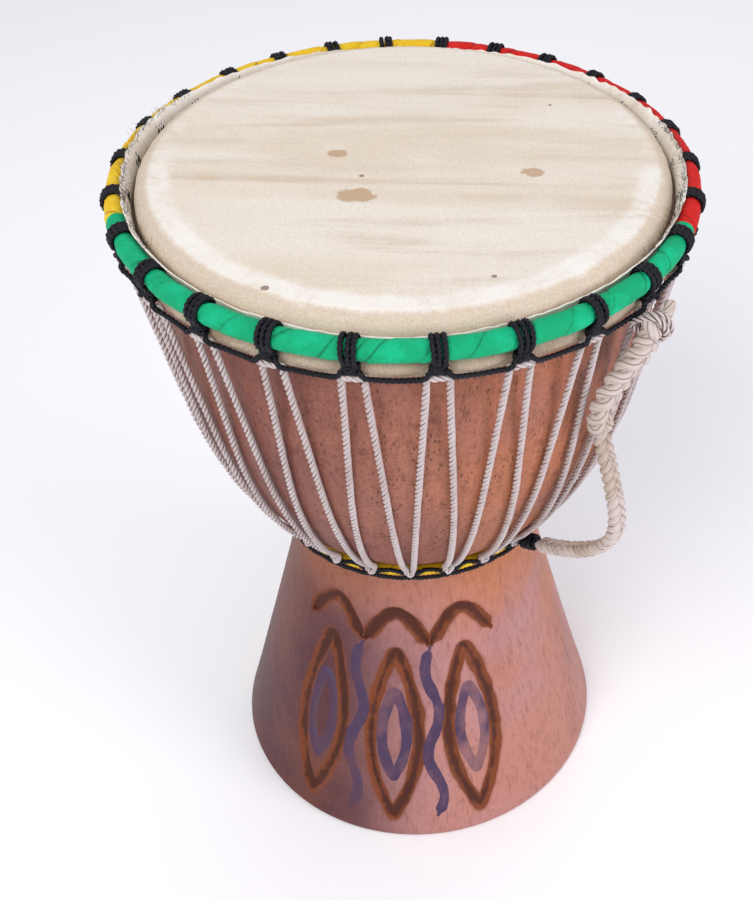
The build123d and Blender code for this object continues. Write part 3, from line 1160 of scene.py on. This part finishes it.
@dataclass
class Drumhead:
    """The skin, its ragged lip and the hair left along its edge. Millimetres."""

    top: float = 411.0
    flat: float = 122.0
    bend: float = 9.0
    skin: float = 1.2
    roll_middle: tuple = (134.6, 389.4)
    roll: float = 4.8
    lip: tuple = (132.9, 396.0, 403.4)
    lip_lean: float = 4.8
    lip_rise: float = 6.2
    hairy: tuple = ((150.0, 215.0), (325.0, 380.0))
    hairs: int = 420

    def profile(self) -> np.ndarray:
        """Closed profile: round the roll, up the skirt, in to the middle and back underneath."""
        start = math.acos((self.flat + self.bend - self.roll_middle[0]) / self.roll)
        sweep = np.linspace(start - TURN + 0.25, start, 40)
        roll = arc(self.roll_middle, self.roll, sweep)
        turn = np.radians(np.linspace(0.0, 90.0, 26))
        centre = self.top - self.bend
        skirt = np.array([(self.flat + self.bend, z) for z in np.linspace(393.6, centre, 10)[:-1]])
        edge = arc((self.flat, centre), self.bend, turn)
        head = np.array([(r, self.top) for r in np.linspace(self.flat, 0.01, 130)[1:]])
        inner = self.bend - self.skin
        under = np.array([(r, self.top - self.skin) for r in np.linspace(0.01, self.flat, 20)])
        back = arc((self.flat, centre), inner, turn[::-2])
        down = np.array([(self.flat + inner, z) for z in (398.0, 393.0, 389.4)])
        return np.vstack([roll, skirt, edge, head, under, back, down])

    def build(self) -> None:
        """Makes the skin with its wrinkles, lip and hairs."""
        profile = self.profile()
        turned = np.radians(np.arange(0.0, 360.0, 0.5))
        r, z = profile[:, :1], profile[:, 1:]
        edge = np.clip((r - 116.0) / 6.0, 0.0, 1.0) * (z > 388.0)
        outer = (np.arange(len(profile)) < 40 + 9 + 26 + 129)[:, None]
        wrinkle = Ripples(11, 30).around(turned[None, :], r, 150, 0.05)
        folds = Ripples(12, 20).around(turned[None, :], z, 60, 0.25)
        on_roll = (np.hypot(r - self.roll_middle[0], z - self.roll_middle[1]) < self.roll + 0.2)
        rise = outer * edge * (0.16 * wrinkle + 0.10 * folds) + on_roll * (0.25 * folds - 0.15)
        rise = rise + outer * (1 - edge) * 0.05 * Ripples(13).around(turned[None, :], r, 7, 0.05)
        outward = outward_of(profile)
        rings = turned_rings(r + outward[:, :1] * rise, z + outward[:, 1:] * rise, turned)
        front = 0.62 + 0.38 * np.cos(turned - math.radians(262.0))[None, :]
        band = np.clip((r - 108.0) / 8.0, 0.0, 1.0) * np.clip((128.0 - r) / 5.0, 0.0, 1.0)
        hide = np.clip((r - 121.0) / 6.0, 0.0, 1.0) + 0.0 * turned[None, :]
        batch = MeshBatch()
        batch.add(rings, True, powder=band * front, hide=hide)
        self._lip(batch)
        batch.piece("goat_skin_head", GoatSkin(), DRUM, "skin", "drumhead")
        self._hair()

    def _lip_shape(self, turned: np.ndarray) -> tuple[np.ndarray, np.ndarray]:
        """How far the lip's end leans out over the cloth, and its height, lowest at the front.

        Args:
            turned: Azimuths, radians.

        Returns:
            The lean and the height, millimetres.
        """
        back = 0.5 + 0.5 * np.sin(turned)
        side = 0.85 * np.abs(np.cos(turned)) ** 1.3 + 0.30 * back
        ragged = Ripples(21, 40).around(turned, 0.0, 120)
        slow = Ripples(22).around(turned, 0.0, 8)
        lean = self.lip_lean * side**1.6 * (1.0 + 0.18 * slow) + 0.25 * ragged
        return lean, self.lip[2] + self.lip_rise * side + 0.35 * slow + 0.45 * ragged

    def _lip(self, batch: MeshBatch) -> None:
        """Adds the skin's ragged end, standing between the head and the crown ring."""
        radius, low, _ = self.lip
        turned = np.radians(np.arange(0.0, 360.0, 0.4))
        lean, top = self._lip_shape(turned)
        wave = 0.30 * Ripples(23, 20).around(turned, 0.0, 50)
        outer = [(0.45, share) for share in (0.0, 0.3, 0.55, 0.75, 0.88, 0.96)]
        inner = [(-side, share) for side, share in outer[::-1]]
        rings = []
        for side, share in [*outer, (0.0, 1.0), *inner]:
            out = radius + side * (1.0 - 0.35 * share) + wave * share + lean * share**2.2
            rise = low + (top - low) * (1.35 * share - 0.35 * share**3) - 0.5 * side * share**4
            rings.append(turned_rings(out, rise, turned))
        rings = np.array(rings)
        shape = rings.shape[:2]
        batch.add(rings, True, powder=np.full(shape, 0.70), hide=np.full(shape, 0.10))

    def _hair(self) -> None:
        """Short stiff hairs left on the skin's end."""
        draw = np.random.default_rng(31)
        batch = MeshBatch()
        share = np.linspace(0.0, 1.0, 6)[:, None]
        for _ in range(self.hairs):
            low, high = self.hairy[int(draw.integers(len(self.hairy)))]
            azimuth = draw.uniform(low, high)
            lean_out, top = self._lip_shape(np.radians(azimuth))
            root = place(azimuth, self.lip[0] + float(lean_out) - draw.uniform(0.0, 2.5), float(top) - 0.6)
            lean = place(azimuth + draw.normal(0.0, 25.0), 1.0, 0.0) / MM * draw.uniform(-0.5, 0.8)
            rise = np.array([0.0, 0.0, draw.uniform(0.5, 1.0)])
            length = draw.uniform(3.0, 6.5) * MM
            bend = draw.normal(0.0, 0.35, 3) * length
            line = root + share * (lean + rise) * length + share**2 * bend
            line[:, 2] = np.minimum(line[:, 2], 0.4125)
            TwistedRope(0.10, 50.0, 1, 4, 0.0).lay(batch, line, swell=np.linspace(1.0, 0.4, 6))
        batch.piece("edge_hair", DARK_HAIR, DRUM, "skin")


@dataclass
class Wound:
    """A rod ring wound with a strip of cloth. Millimetres and degrees.

    Attributes:
        radius: Ring's radius.
        height: Ring's height.
        section: Outer radius of the winding.
        pitch: How far one turn of the strip moves along.
        pinches: Azimuths where a cord draws the cloth in.
        sides: Points round the section.
        step: Spacing along the ring, degrees.
    """

    radius: float
    height: float
    section: float
    pitch: float
    pinches: Sequence[float] = ()
    sides: int = 44
    step: float = 0.25

    def wind(self, start: float, end: float, seed: int) -> MeshBatch:
        """Winds the cloth over part of the ring.

        Args:
            start: First azimuth.
            end: Last azimuth; a whole turn closes on itself.
            seed: Which wrinkles it has.

        Returns:
            The cloth's mesh.
        """
        closed = end - start > 359.9
        azimuth = np.arange(start, end, self.step)[:, None]
        angle = np.arange(self.sides)[None, :] / self.sides * TURN
        along = np.radians(azimuth - start) * self.radius
        whole = math.radians(end - start) * self.radius
        pitch = whole / round(whole / self.pitch) if closed else self.pitch
        turn = along / pitch - angle / TURN
        drift = 0.10 * Ripples(seed).at(along * 0.09, np.cos(angle), 1.0) * (0.0 if closed else 1.0)
        phase = (turn + drift) % 1.0
        lap = np.clip(phase / 0.06, 0.0, 1.0) * (1.0 - phase) ** 0.8
        across = 2.0 * math.pi * turn
        wrinkle = Ripples(seed + 1, 26).at(np.cos(across) * 9.0 + np.sin(across) * 9.0, along * 0.16, 1.0)
        fine = Ripples(seed + 2, 26).at(np.cos(across) * 22.0, np.sin(across) * 22.0 + along * 0.1, 1.0)
        pinch = np.zeros_like(azimuth)
        for at in self.pinches:
            off = (azimuth - at + 180.0) % 360.0 - 180.0
            pinch = np.maximum(pinch, np.exp(-((off / 1.7) ** 2)))
        swell = 0.90 + 0.085 * lap + 0.020 * wrinkle + 0.010 * fine - 0.17 * pinch
        if not closed:
            edge = np.minimum(along, whole - along)
            swell = swell * (0.80 + 0.20 * np.sqrt(np.clip(edge / 1.4, 0.0, 1.0)))
        r = self.section * swell
        out, rise = r * np.cos(angle), r * np.sin(angle)
        rings = turned_rings(self.radius + out, self.height + rise, np.radians(azimuth))
        # Painted shade, carried as a tone: lowest where the strip runs under the next lap and where a cord
        # pinches it.
        fold = 0.45 + 0.25 * wrinkle + 0.12 * fine + 0.35 * lap - 0.30 * np.exp(-((phase - 0.97) / 0.05) ** 2)
        batch = MeshBatch()
        batch.add(rings[:, ::-1], closed, fold=(fold - 0.35 * pinch)[:, ::-1])
        return batch


@dataclass
class Crown:
    """Cloth, hitches and the black cord round the crown ring. Millimetres."""

    plan: Lacing = field(default_factory=Lacing)
    cloth: float = 5.55
    cord: TwistedRope = TwistedRope(1.38, 7.6, 3, 15, 1.0, 0.04, 7)
    turns: int = 3
    turn_step: float = 2.35
    foot: tuple = (141.3, 393.0)
    span: tuple = (140.5, 387.0)
    over_bar: tuple = (144.4, 389.6)
    bar_half: float = 5.6
    sag: float = 0.6
    spans: tuple = (("green", 199.0, 341.0), ("yellow", 85.0, 199.0), ("red", 341.0, 445.0))

    def build(self) -> None:
        """Makes the cloths, the hitches and the spans between them."""
        radius, height = ring_size("crown_ring", 4.0)
        wound = Wound(radius, height, self.cloth, 21.0, self.plan.hitches()[:-1])
        for number, (finish, (colour, start, end)) in enumerate(zip((GREEN, YELLOW, RED), self.spans)):
            batch = wound.wind(start - 0.3, end + 0.3, 50 + 7 * number)
            batch.piece("wound_cloth_" + colour, finish, DRUM, "cloth_" + colour, "crown_cloth_" + colour)
        batch = MeshBatch()
        for number, azimuth in enumerate(self.plan.hitches()[:-1]):
            self._hitch(batch, azimuth, radius, height, number)
        batch.piece("hitch_cords", BLACK_CORD, DRUM, "black_cord", "crown_hitches")
        self._spans()

    def _local(self, azimuth: float, points: Sequence[tuple[float, float, float]]) -> np.ndarray:
        """Points given as sideways distance, radius and height at an azimuth."""
        return np.array([place(azimuth + math.degrees(t / r), r, z) for t, r, z in points])

    def _hitch(self, batch: MeshBatch, azimuth: float, radius: float, height: float, number: int) -> None:
        """One hitch: turns over the ring, gathered into a knot below the roll."""
        draw = np.random.default_rng(100 + number)
        lift = self.cloth * 0.80 + self.cord.radius
        foot_r, foot_z = self.foot
        for k in range(self.turns):
            side = (k - (self.turns - 1) / 2) * self.turn_step
            lean, shift = draw.normal(0.0, 0.25, 2)
            rise = lift + draw.uniform(0.0, 0.25)
            route = [(side * 0.5, foot_r - 2.4, foot_z - 1.6), (side * 0.55, foot_r - 0.2, foot_z + 0.2)]
            for angle in range(-40, 216, 15):
                bend = math.radians(angle)
                wide = side + shift + lean * math.sin(bend)
                route.append((wide, radius + rise * math.cos(bend), height + rise * math.sin(bend)))
            route.append((side, radius - lift + 1.2, height - 7.0))
            self.cord.follow(batch, self._local(azimuth, route))
        for level, tilt in ((1.35, 0.5), (-1.15, -0.5)):
            loop = []
            tilt = tilt + draw.normal(0.0, 0.2)
            for angle in range(0, 360, 30):
                c, s = math.cos(math.radians(angle)), math.sin(math.radians(angle))
                wide = 3.35 * math.copysign(abs(c) ** 0.8, c)
                loop.append((wide, foot_r + 0.2 + 1.75 * s, foot_z + level + tilt * c))
            self.cord.follow(batch, self._local(azimuth, loop), 2, True)
        wide = 2.6 * (1 if number % 2 else -1)
        cross = [(-wide, foot_r + 0.9, foot_z - 2.2), (-0.5 * wide, foot_r + 2.4, foot_z - 1.0),
                 (0.5 * wide, foot_r + 2.5, foot_z + 1.0), (wide, foot_r + 1.0, foot_z + 2.6)]
        self.cord.follow(batch, self._local(azimuth, cross))

    def _spans(self) -> None:
        """The black cord that runs from each hitch to the next."""
        batch, draw = MeshBatch(), np.random.default_rng(61)
        at = self.plan.hitches()
        foot_r, foot_z = self.foot
        for a, b in zip(at, at[1:]):
            sag = self.sag * draw.uniform(0.2, 1.7)
            near = math.degrees(self.bar_half / self.span[0])
            route = [
                place(a + 0.5, foot_r - 0.6, foot_z + 0.4),
                place(a + 0.7 * near, foot_r + 1.6, foot_z - 1.0),
            ]
            start, end = a + near, b - near
            route.append(place(start, self.over_bar[0], self.over_bar[1] + draw.normal(0.0, 0.3)))
            for share in (0.14, 0.30, 0.5, 0.70, 0.86):
                hang = math.sin(math.pi * share)
                ease = (1.0 - hang) ** 2
                radius = self.span[0] + (self.over_bar[0] - self.span[0]) * ease
                height = self.span[1] - sag * hang + (self.over_bar[1] - self.span[1]) * ease
                route.append(place(start + (end - start) * share, radius, height))
            route.append(place(end, self.over_bar[0], self.over_bar[1] + draw.normal(0.0, 0.3)))
            route += [
                place(b - 0.7 * near, foot_r + 1.6, foot_z - 1.0),
                place(b - 0.5, foot_r - 0.6, foot_z + 0.4),
            ]
            self.cord.follow(batch, route)
        batch.piece("span_cord", BLACK_CORD, DRUM, "black_cord", "crown_cord")


@dataclass
class TensionCord:
    """One long white rope, laced down to the waist and back at every hitch. Millimetres and degrees."""

    plan: Lacing = field(default_factory=Lacing)
    curve: BowlCurve = field(default_factory=BowlCurve)
    rope: TwistedRope = TwistedRope(1.78, 10.4, 3, 16, 1.0, 0.05, 9)
    bar: tuple = (141.9, 388.3)
    behind: tuple = (139.9, 386.0)
    half: float = 2.05
    lift: float = 2.5
    angles: tuple = (12.0, 18.0, 25.8, 32.0, 38.0, 44.0, 50.0, 55.0, 60.0, 65.0)
    foot_turn: float = 1.45

    def run(self, top: float, bottom: float) -> list[np.ndarray]:
        """A strand down the bowl from one azimuth to another."""
        _, lowest = self.curve.point(self.angles[-1], self.lift)
        points = []
        for angle in self.angles[2:]:
            radius, height = self.curve.point(angle, self.lift)
            share = (self.bar[1] - height) / (self.bar[1] - lowest)
            points.append(place(top + (bottom - top) * share, radius, height))
        return points

    def _over_hitch(self, azimuth: float, lean: float) -> list[np.ndarray]:
        """The rope's way up behind a hitch's foot, across as a bar and down again.

        Args:
            azimuth: Where the hitch is, degrees.
            lean: How far the bar's ends are out of level, millimetres.

        Returns:
            The points in order.
        """
        back_r, back_z = self.behind
        bar_r, bar_z = self.bar
        up, down = azimuth - self.half, azimuth + self.half
        return [
            place(up + 0.1, back_r, back_z),
            place(up - 0.2, back_r + 1.2, back_z + 2.4),
            place(up + 0.1, bar_r + 0.4, bar_z - lean),
            place(azimuth, bar_r + 0.3, bar_z),
            place(down - 0.1, bar_r + 0.4, bar_z + lean),
            place(down + 0.2, back_r + 1.2, back_z + 2.4),
            place(down - 0.1, back_r, back_z),
        ]

    def route(self) -> np.ndarray:
        """The rope's whole closed route."""
        at, middles = self.plan.hitches(), self.plan.middles()
        draw = np.random.default_rng(71)
        points = []
        for k, azimuth in enumerate(at[:-1]):
            left = middles[k - 1] - (360.0 if k == 0 else 0.0)
            points += self.run(azimuth - self.half, left + self.foot_turn)[::-1]
            lean = draw.normal(0.0, 0.35)
            points += self._over_hitch(azimuth, lean)
            points += self.run(azimuth + self.half, middles[k] - self.foot_turn)
            radius, height = self.curve.point(self.angles[-1], self.lift)
            for along, out, down in ((-1.2, 0.2, 2.4), (-0.4, 0.6, 4.2), (0.4, 0.6, 4.2), (1.2, 0.2, 2.4)):
                points.append(place(middles[k] + along, radius + out, height - down))
        return np.array(points)

    def build(self) -> None:
        """Makes the rope and the fibres that stand off it."""
        batch = MeshBatch()
        line = even_steps(corner_cut(self.route(), 2, True), 0.85 * MM, True)
        self.rope.lay(batch, line, True)
        self._fuzz(batch, line)
        batch.piece("laced_rope", WHITE_ROPE, DRUM, "white_rope", "tension_cord")

    def _fuzz(self, batch: MeshBatch, line: np.ndarray) -> None:
        """Fine fibres, mostly on the bars under the hitches."""
        draw = np.random.default_rng(81)
        height = line[:, 2] / MM
        odds = np.where(height > 387.0, 1.0, 0.05)
        share = np.linspace(0.0, 1.0, 4)[:, None]
        for index in np.nonzero(draw.random(len(line)) < odds)[0]:
            for _ in range(2 if odds[index] > 0.5 else 1):
                way = draw.normal(0.0, 1.0, 3)
                way /= np.linalg.norm(way)
                root = line[index] + way * self.rope.radius * 0.8 * MM
                length = draw.uniform(0.5, 1.5) * MM
                hair = root + share * way * length + share**2 * draw.normal(0.0, 0.5, 3) * length
                TwistedRope(0.055, 50.0, 1, 3, 0.0).lay(batch, hair, swell=np.linspace(1.0, 0.5, 4))


@dataclass
class WaistRing:
    """The lower ring with its cloth, and the black cord that holds the Vs to it. Millimetres and degrees.

    Attributes:
        plan: Where the Vs are.
        cloth: Outer radius of the cloth.
        cord: The black cord.
        lift: From the ring's middle to the middle of a cord round it.
        turn: Where a turn round the ring begins and ends, round the ring's section.
        eyes: How the two cords between turns lie on the section, at their ends and in the middle.
    """

    plan: Lacing = field(default_factory=Lacing)
    cloth: float = 3.25
    cord: TwistedRope = TwistedRope(1.36, 7.6, 3, 15, 1.0, 0.04, 17)
    lift: float = 4.6
    turn: tuple = (-200.0, 40.0)
    eyes: tuple = ((4.0, 42.0), (-10.0, -58.0))

    def build(self) -> None:
        """Makes the cloth and the cord."""
        radius, height = ring_size("waist_ring", 2.0)
        cloth = Wound(radius, height, self.cloth, 13.0, self.plan.middles(), 30, 0.5)
        cloth.wind(0.0, 360.0, 90).piece("waist_wound_cloth", YELLOW, DRUM, "cloth_yellow", "waist_cloth")
        batch = MeshBatch()
        middles = self.plan.middles()
        middles.append(middles[0] + 360.0)
        draw = np.random.default_rng(64)
        for a, b in zip(middles, middles[1:]):
            self._turn(batch, a, radius, height)
            for ends, middle in self.eyes:
                route = []
                for share in np.linspace(0.0, 1.0, 9):
                    swing = ends + (middle - ends) * math.sin(math.pi * share) ** 1.4
                    bend = math.radians(swing + draw.normal(0.0, 3.0))
                    out, rise = self.lift * math.cos(bend), self.lift * math.sin(bend)
                    route.append(place(a + (b - a) * share, radius + out, height + rise))
                self.cord.follow(batch, route)
        batch.piece("waist_cord", BLACK_CORD, DRUM, "black_cord", "waist_loops")

    def _turn(self, batch: MeshBatch, azimuth: float, radius: float, height: float) -> None:
        """One turn of cord round the ring, at the foot of a V."""
        route = []
        for angle in np.linspace(*self.turn, 12):
            bend = math.radians(angle)
            slide = 1.6 * (angle / 240.0)
            out, rise = self.lift * math.cos(bend), self.lift * math.sin(bend)
            route.append(place(azimuth + slide, radius + out, height + rise))
        self.cord.follow(batch, route)


@dataclass
class CarryingHandle:
    """The plaited carrying loop with its knot and lashing. Routes are azimuth, radius and height."""

    free: Route = (
        (316.2, 133.5, 318.0), (316.6, 137.7, 304.2), (317.0, 141.6, 289.6), (317.5, 145.3, 273.6),
        (317.9, 146.4, 259.6), (318.3, 143.2, 245.9), (318.7, 134.9, 233.4), (319.0, 122.1, 222.1),
        (319.3, 107.7, 212.9), (319.6, 95.5, 207.3),
    )
    held: Route = (
        (320.6, 148.6, 376.5), (319.0, 146.5, 368.0), (316.5, 144.3, 361.0), (313.8, 142.7, 352.5),
        (312.2, 141.2, 343.0), (312.4, 139.9, 333.5), (314.0, 137.9, 326.5), (315.2, 136.4, 323.4),
    )
    knot: tuple = (320.8, 150.3, 383.0)
    width: float = 10.5
    plait_pitch: float = 17.0
    step: float = 0.8
    black: TwistedRope = TwistedRope(1.36, 7.6, 3, 15, 1.0, 0.04, 13)
    coil: float = 3.6
    coil_turns: float = 4.5
    coil_span: tuple = (4.2, 14.0)

    def free_line(self) -> np.ndarray:
        """Points along the free part, read from a smooth curve through the route's frame."""
        curve = bpy.data.curves.new("free_route", "CURVE")
        curve.dimensions = "3D"
        curve.resolution_u = 24
        spline = curve.splines.new("NURBS")
        spline.points.add(len(self.free) - 1)
        for point, where in zip(spline.points, self.free):
            point.co = (*place(*where), 1.0)
        spline.order_u = 3
        spline.use_endpoint_u = True
        holder = bpy.data.objects.new("free_route", curve)
        mesh = bpy.data.meshes.new_from_object(holder)
        points = np.array([vertex.co[:] for vertex in mesh.vertices], float)
        bpy.data.objects.remove(holder)
        bpy.data.curves.remove(curve)
        bpy.data.meshes.remove(mesh)
        return even_steps(points, self.step * MM)

    def braid(self, batch: MeshBatch, line: np.ndarray, wide: float, thick: float, strand: TwistedRope,
              pitch: float, start: float = 0.0) -> None:
        """Lays a flat three-strand plait along a line.

        Args:
            batch: The mesh it goes into.
            line: Evenly spaced points.
            wide: Half the sideways travel of a strand, millimetres.
            thick: Half its travel through the plait, millimetres.
            strand: The strand.
            pitch: Length of one full crossing, millimetres.
            start: Where in the crossing the plait begins, radians.
        """
        outward = line[0] * np.array([1.0, 1.0, 0.0])
        normal, binormal = side_axes(line, first=outward / np.linalg.norm(outward))
        along = lengths(line) / MM
        ends = np.minimum(along, along[-1] - along)
        gather = (0.55 + 0.45 * np.clip(ends / 4.0, 0.0, 1.0))[:, None]
        for k in range(3):
            phase = start + along / pitch * TURN + TURN * k / 3.0
            across = wide * np.sin(phase)[:, None] * gather
            through = thick * np.sin(2.0 * phase)[:, None] * gather
            path = line + (binormal * across + normal * through) * MM
            strand.lay(batch, even_steps(path, 0.7 * MM))

    def build(self) -> None:
        """Makes the handle's four pieces."""
        self._free_part()
        self._held_part()
        self._stopper_knot()
        self._lashing()

    def _free_part(self) -> None:
        """The part that hangs free and swings."""
        line = self.free_line()
        batch = MeshBatch()
        self.braid(batch, line, 2.95, 1.35, TwistedRope(2.25, 26.0, 6, 20, 0.85, 0.04, 5), self.plait_pitch)
        braid = batch.piece("braided_loop", CREAM_BRAID, LOOP, "cream_braid", "handle_rope")
        self.width * MM

    def _held_part(self) -> None:
        """The doubled upper part, thicker and looser, against the lacing."""
        corners = np.array([place(*where) for where in self.held])
        line = even_steps(corner_cut(corners, 4), self.step * MM)
        batch = MeshBatch()
        self.braid(batch, line, 3.5, 2.3, TwistedRope(3.1, 30.0, 6, 22, 0.85, 0.06, 6), 22.0, 1.0)
        batch.piece("doubled_plait", CREAM_BRAID, DRUM, "cream_braid", "handle_plait")

    def _stopper_knot(self) -> None:
        """A fat overhand knot with its cut end, and the rope that ties it to the hitch above."""
        middle = place(*self.knot)
        outward = middle * np.array([1.0, 1.0, 0.0])
        outward /= np.linalg.norm(outward)
        side = np.cross([0.0, 0.0, 1.0], outward)
        axes = np.stack([side, np.array([0.0, 0.0, 1.0]), outward])
        t = np.linspace(0.0, TURN, 160, endpoint=False)
        size = 2.05
        loop = np.stack([
            size * (np.sin(t) + 2.0 * np.sin(2.0 * t)) * 0.92,
            size * (np.cos(t) - 2.0 * np.cos(2.0 * t)) * 0.92,
            -size * np.sin(3.0 * t) * 1.35,
        ], 1) * MM
        batch = MeshBatch()
        line = even_steps(middle + loop @ axes, self.step * MM, True)
        TwistedRope(3.25, 24.0, 6, 22, 0.9, 0.05, 8).lay(batch, line, True)
        tail = np.array([(3.0, 2.0, 1.5), (6.5, 4.5, 2.0), (9.2, 6.4, 1.0), (10.6, 7.2, 0.0)]) * MM
        line = even_steps(middle + corner_cut(tail) @ axes, self.step * MM)
        TwistedRope(3.0, 24.0, 6, 22, 0.9, 0.08, 3).lay(batch, line)
        batch.piece("stopper_knot", CREAM_BRAID, DRUM, "cream_braid", "handle_knot")
        ties = MeshBatch()
        rope = TwistedRope(1.6, 10.0, 3, 15, 1.0, 0.05, 4)
        for shift in (-2.2, 1.2):
            route = np.array([(shift - 4.0, 2.0, -8.5), (shift - 3.0, 6.0, -3.0), (shift - 1.0, 7.8, 3.0),
                              (shift + 1.0, 3.0, 7.0), (shift + 2.0, -3.0, 6.5), (shift + 2.0, -7.0, 1.0),
                              (shift, -6.0, -6.0), (shift - 3.0, 0.0, -9.5)]) * MM
            rope.follow(ties, middle + route @ axes, 3, True, self.step)
        ties.piece("knot_whipping", WHITE_ROPE, DRUM, "white_rope")

    def _lashing(self) -> None:
        """Turns of black cord round the loop's lower end, on to the waist ring."""
        before, end = place(*self.free[-2]), place(*self.free[-1])
        along = (end - before) / np.linalg.norm(end - before)
        line = end + along * np.linspace(*self.coil_span, 90)[:, None] * MM
        normal, binormal = side_axes(line)
        turn = np.linspace(0.0, self.coil_turns * TURN, 90)[:, None]
        coil = line + (normal * np.cos(turn) + binormal * np.sin(turn)) * self.coil * MM
        batch = MeshBatch()
        self.black.lay(batch, even_steps(coil, 0.75 * MM))
        core = even_steps(end + along * np.linspace(3.5, 14.5, 8)[:, None] * MM, 1.0 * MM)
        TwistedRope(2.8, 20.0, 5, 18, 0.8).lay(batch, core)
        batch.piece("black_lashing", BLACK_CORD, DRUM, "black_cord", "handle_tie")


@dataclass
class Rods:
    """The three steel rings inside the cloth and the skin."""

    names: tuple = ("crown_ring", "flesh_ring", "waist_ring")

    def build(self) -> None:
        """Gives the rings their finish."""
        steel = PlainRod().material()
        for name in self.names:
            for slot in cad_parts[name].material_slots:
                slot.material = steel
            log.info("%s: bare rod", name)


@dataclass
class Studio:
    """Floor, lights and camera. Metres and degrees."""

    eye: tuple = (0.0399, -0.5826, 0.7502)
    tilt: float = 39.747
    roll: float = 0.885
    lens: float = 54.42
    shift: tuple = (-0.1186, -0.0675)
    floor_half: float = 6.0
    surround: tuple = (0.93, 0.94, 1.0, 1.0)
    surround_power: float = 0.56
    aim: tuple = (0.0, 0.0, 0.22)
    lamps: tuple = (
        ("key", (-0.60, -1.15, 1.60), 1.0, 19.0, (1.0, 0.985, 0.97)),
        ("fill", (1.35, -0.75, 0.75), 0.8, 11.0, (0.97, 0.92, 1.0)),
        ("left_edge", (-1.4, 0.1, 0.6), 0.8, 2.5, (0.70, 0.66, 1.0)),
        ("back", (0.2, 1.3, 1.5), 1.2, 6.0, (1.0, 1.0, 1.0)),
    )

    def build(self) -> None:
        """Sets up the whole studio."""
        self._floor()
        self._lights()
        self._camera()
        bpy.context.scene.view_settings.view_transform = "Standard"

    def _floor(self) -> None:
        """A wide pale floor."""
        size = self.floor_half
        mesh = bpy.data.meshes.new("floor")
        corners = [(-size, -size, 0.0), (size, -size, 0.0), (size, size, 0.0), (-size, size, 0.0)]
        mesh.from_pydata(corners, [], [(0, 1, 2, 3)])
        floor = bpy.data.objects.new("floor", mesh)
        bpy.context.scene.collection.objects.link(floor)
        mesh.materials.append(PaleFloor().material())

    def _lights(self) -> None:
        """A broad key from the upper left front, a fill, weak side and back lights, a pale surround."""
        world = bpy.data.worlds.new("surround")
        world.use_nodes = True
        world.node_tree.nodes["Background"].inputs[0].default_value = self.surround
        world.node_tree.nodes["Background"].inputs[1].default_value = self.surround_power
        bpy.context.scene.world = world
        for lamp in self.lamps:
            self._area(*lamp)

    def _area(self, name: str, place_at: tuple, size: float, power: float, colour: Colour) -> None:
        """Adds one square light aimed at the drum."""
        light = bpy.data.lights.new(name, "AREA")
        light.size = size
        light.energy = power
        light.color = colour
        holder = bpy.data.objects.new(name, light)
        holder.location = place_at
        aim = Vector(self.aim) - Vector(place_at)
        holder.rotation_euler = aim.to_track_quat("-Z", "Y").to_euler()
        bpy.context.scene.collection.objects.link(holder)

    def _camera(self) -> None:
        """The camera, above the front and looking down."""
        camera = bpy.data.cameras.new("camera")
        camera.lens = self.lens
        camera.sensor_fit = "AUTO"
        camera.sensor_width = 36.0
        camera.shift_x, camera.shift_y = self.shift
        holder = bpy.data.objects.new("camera", camera)
        tilt, roll = math.radians(self.tilt), math.radians(self.roll)
        right = Vector((1.0, 0.0, 0.0))
        up = Vector((0.0, math.sin(tilt), math.cos(tilt)))
        back = Vector((0.0, -math.cos(tilt), math.sin(tilt)))
        x_axis = right * math.cos(roll) + up * math.sin(roll)
        y_axis = up * math.cos(roll) - right * math.sin(roll)
        turn = Matrix((x_axis, y_axis, back)).transposed().to_4x4()
        holder.matrix_world = Matrix.Translation(self.eye) @ turn
        bpy.context.scene.collection.objects.link(holder)
        bpy.context.scene.camera = holder


def main() -> None:
    """Builds every sub-assembly in order."""
    logging.basicConfig(level=logging.INFO, format="%(name)s %(message)s")
    parts = (Shell(), Drumhead(), Rods(), Crown(), TensionCord(), WaistRing(), CarryingHandle(), Studio())
    for part in parts:
        log.info("building %s", type(part).__name__)
        part.build()


if __name__ == "__main__":
    main()
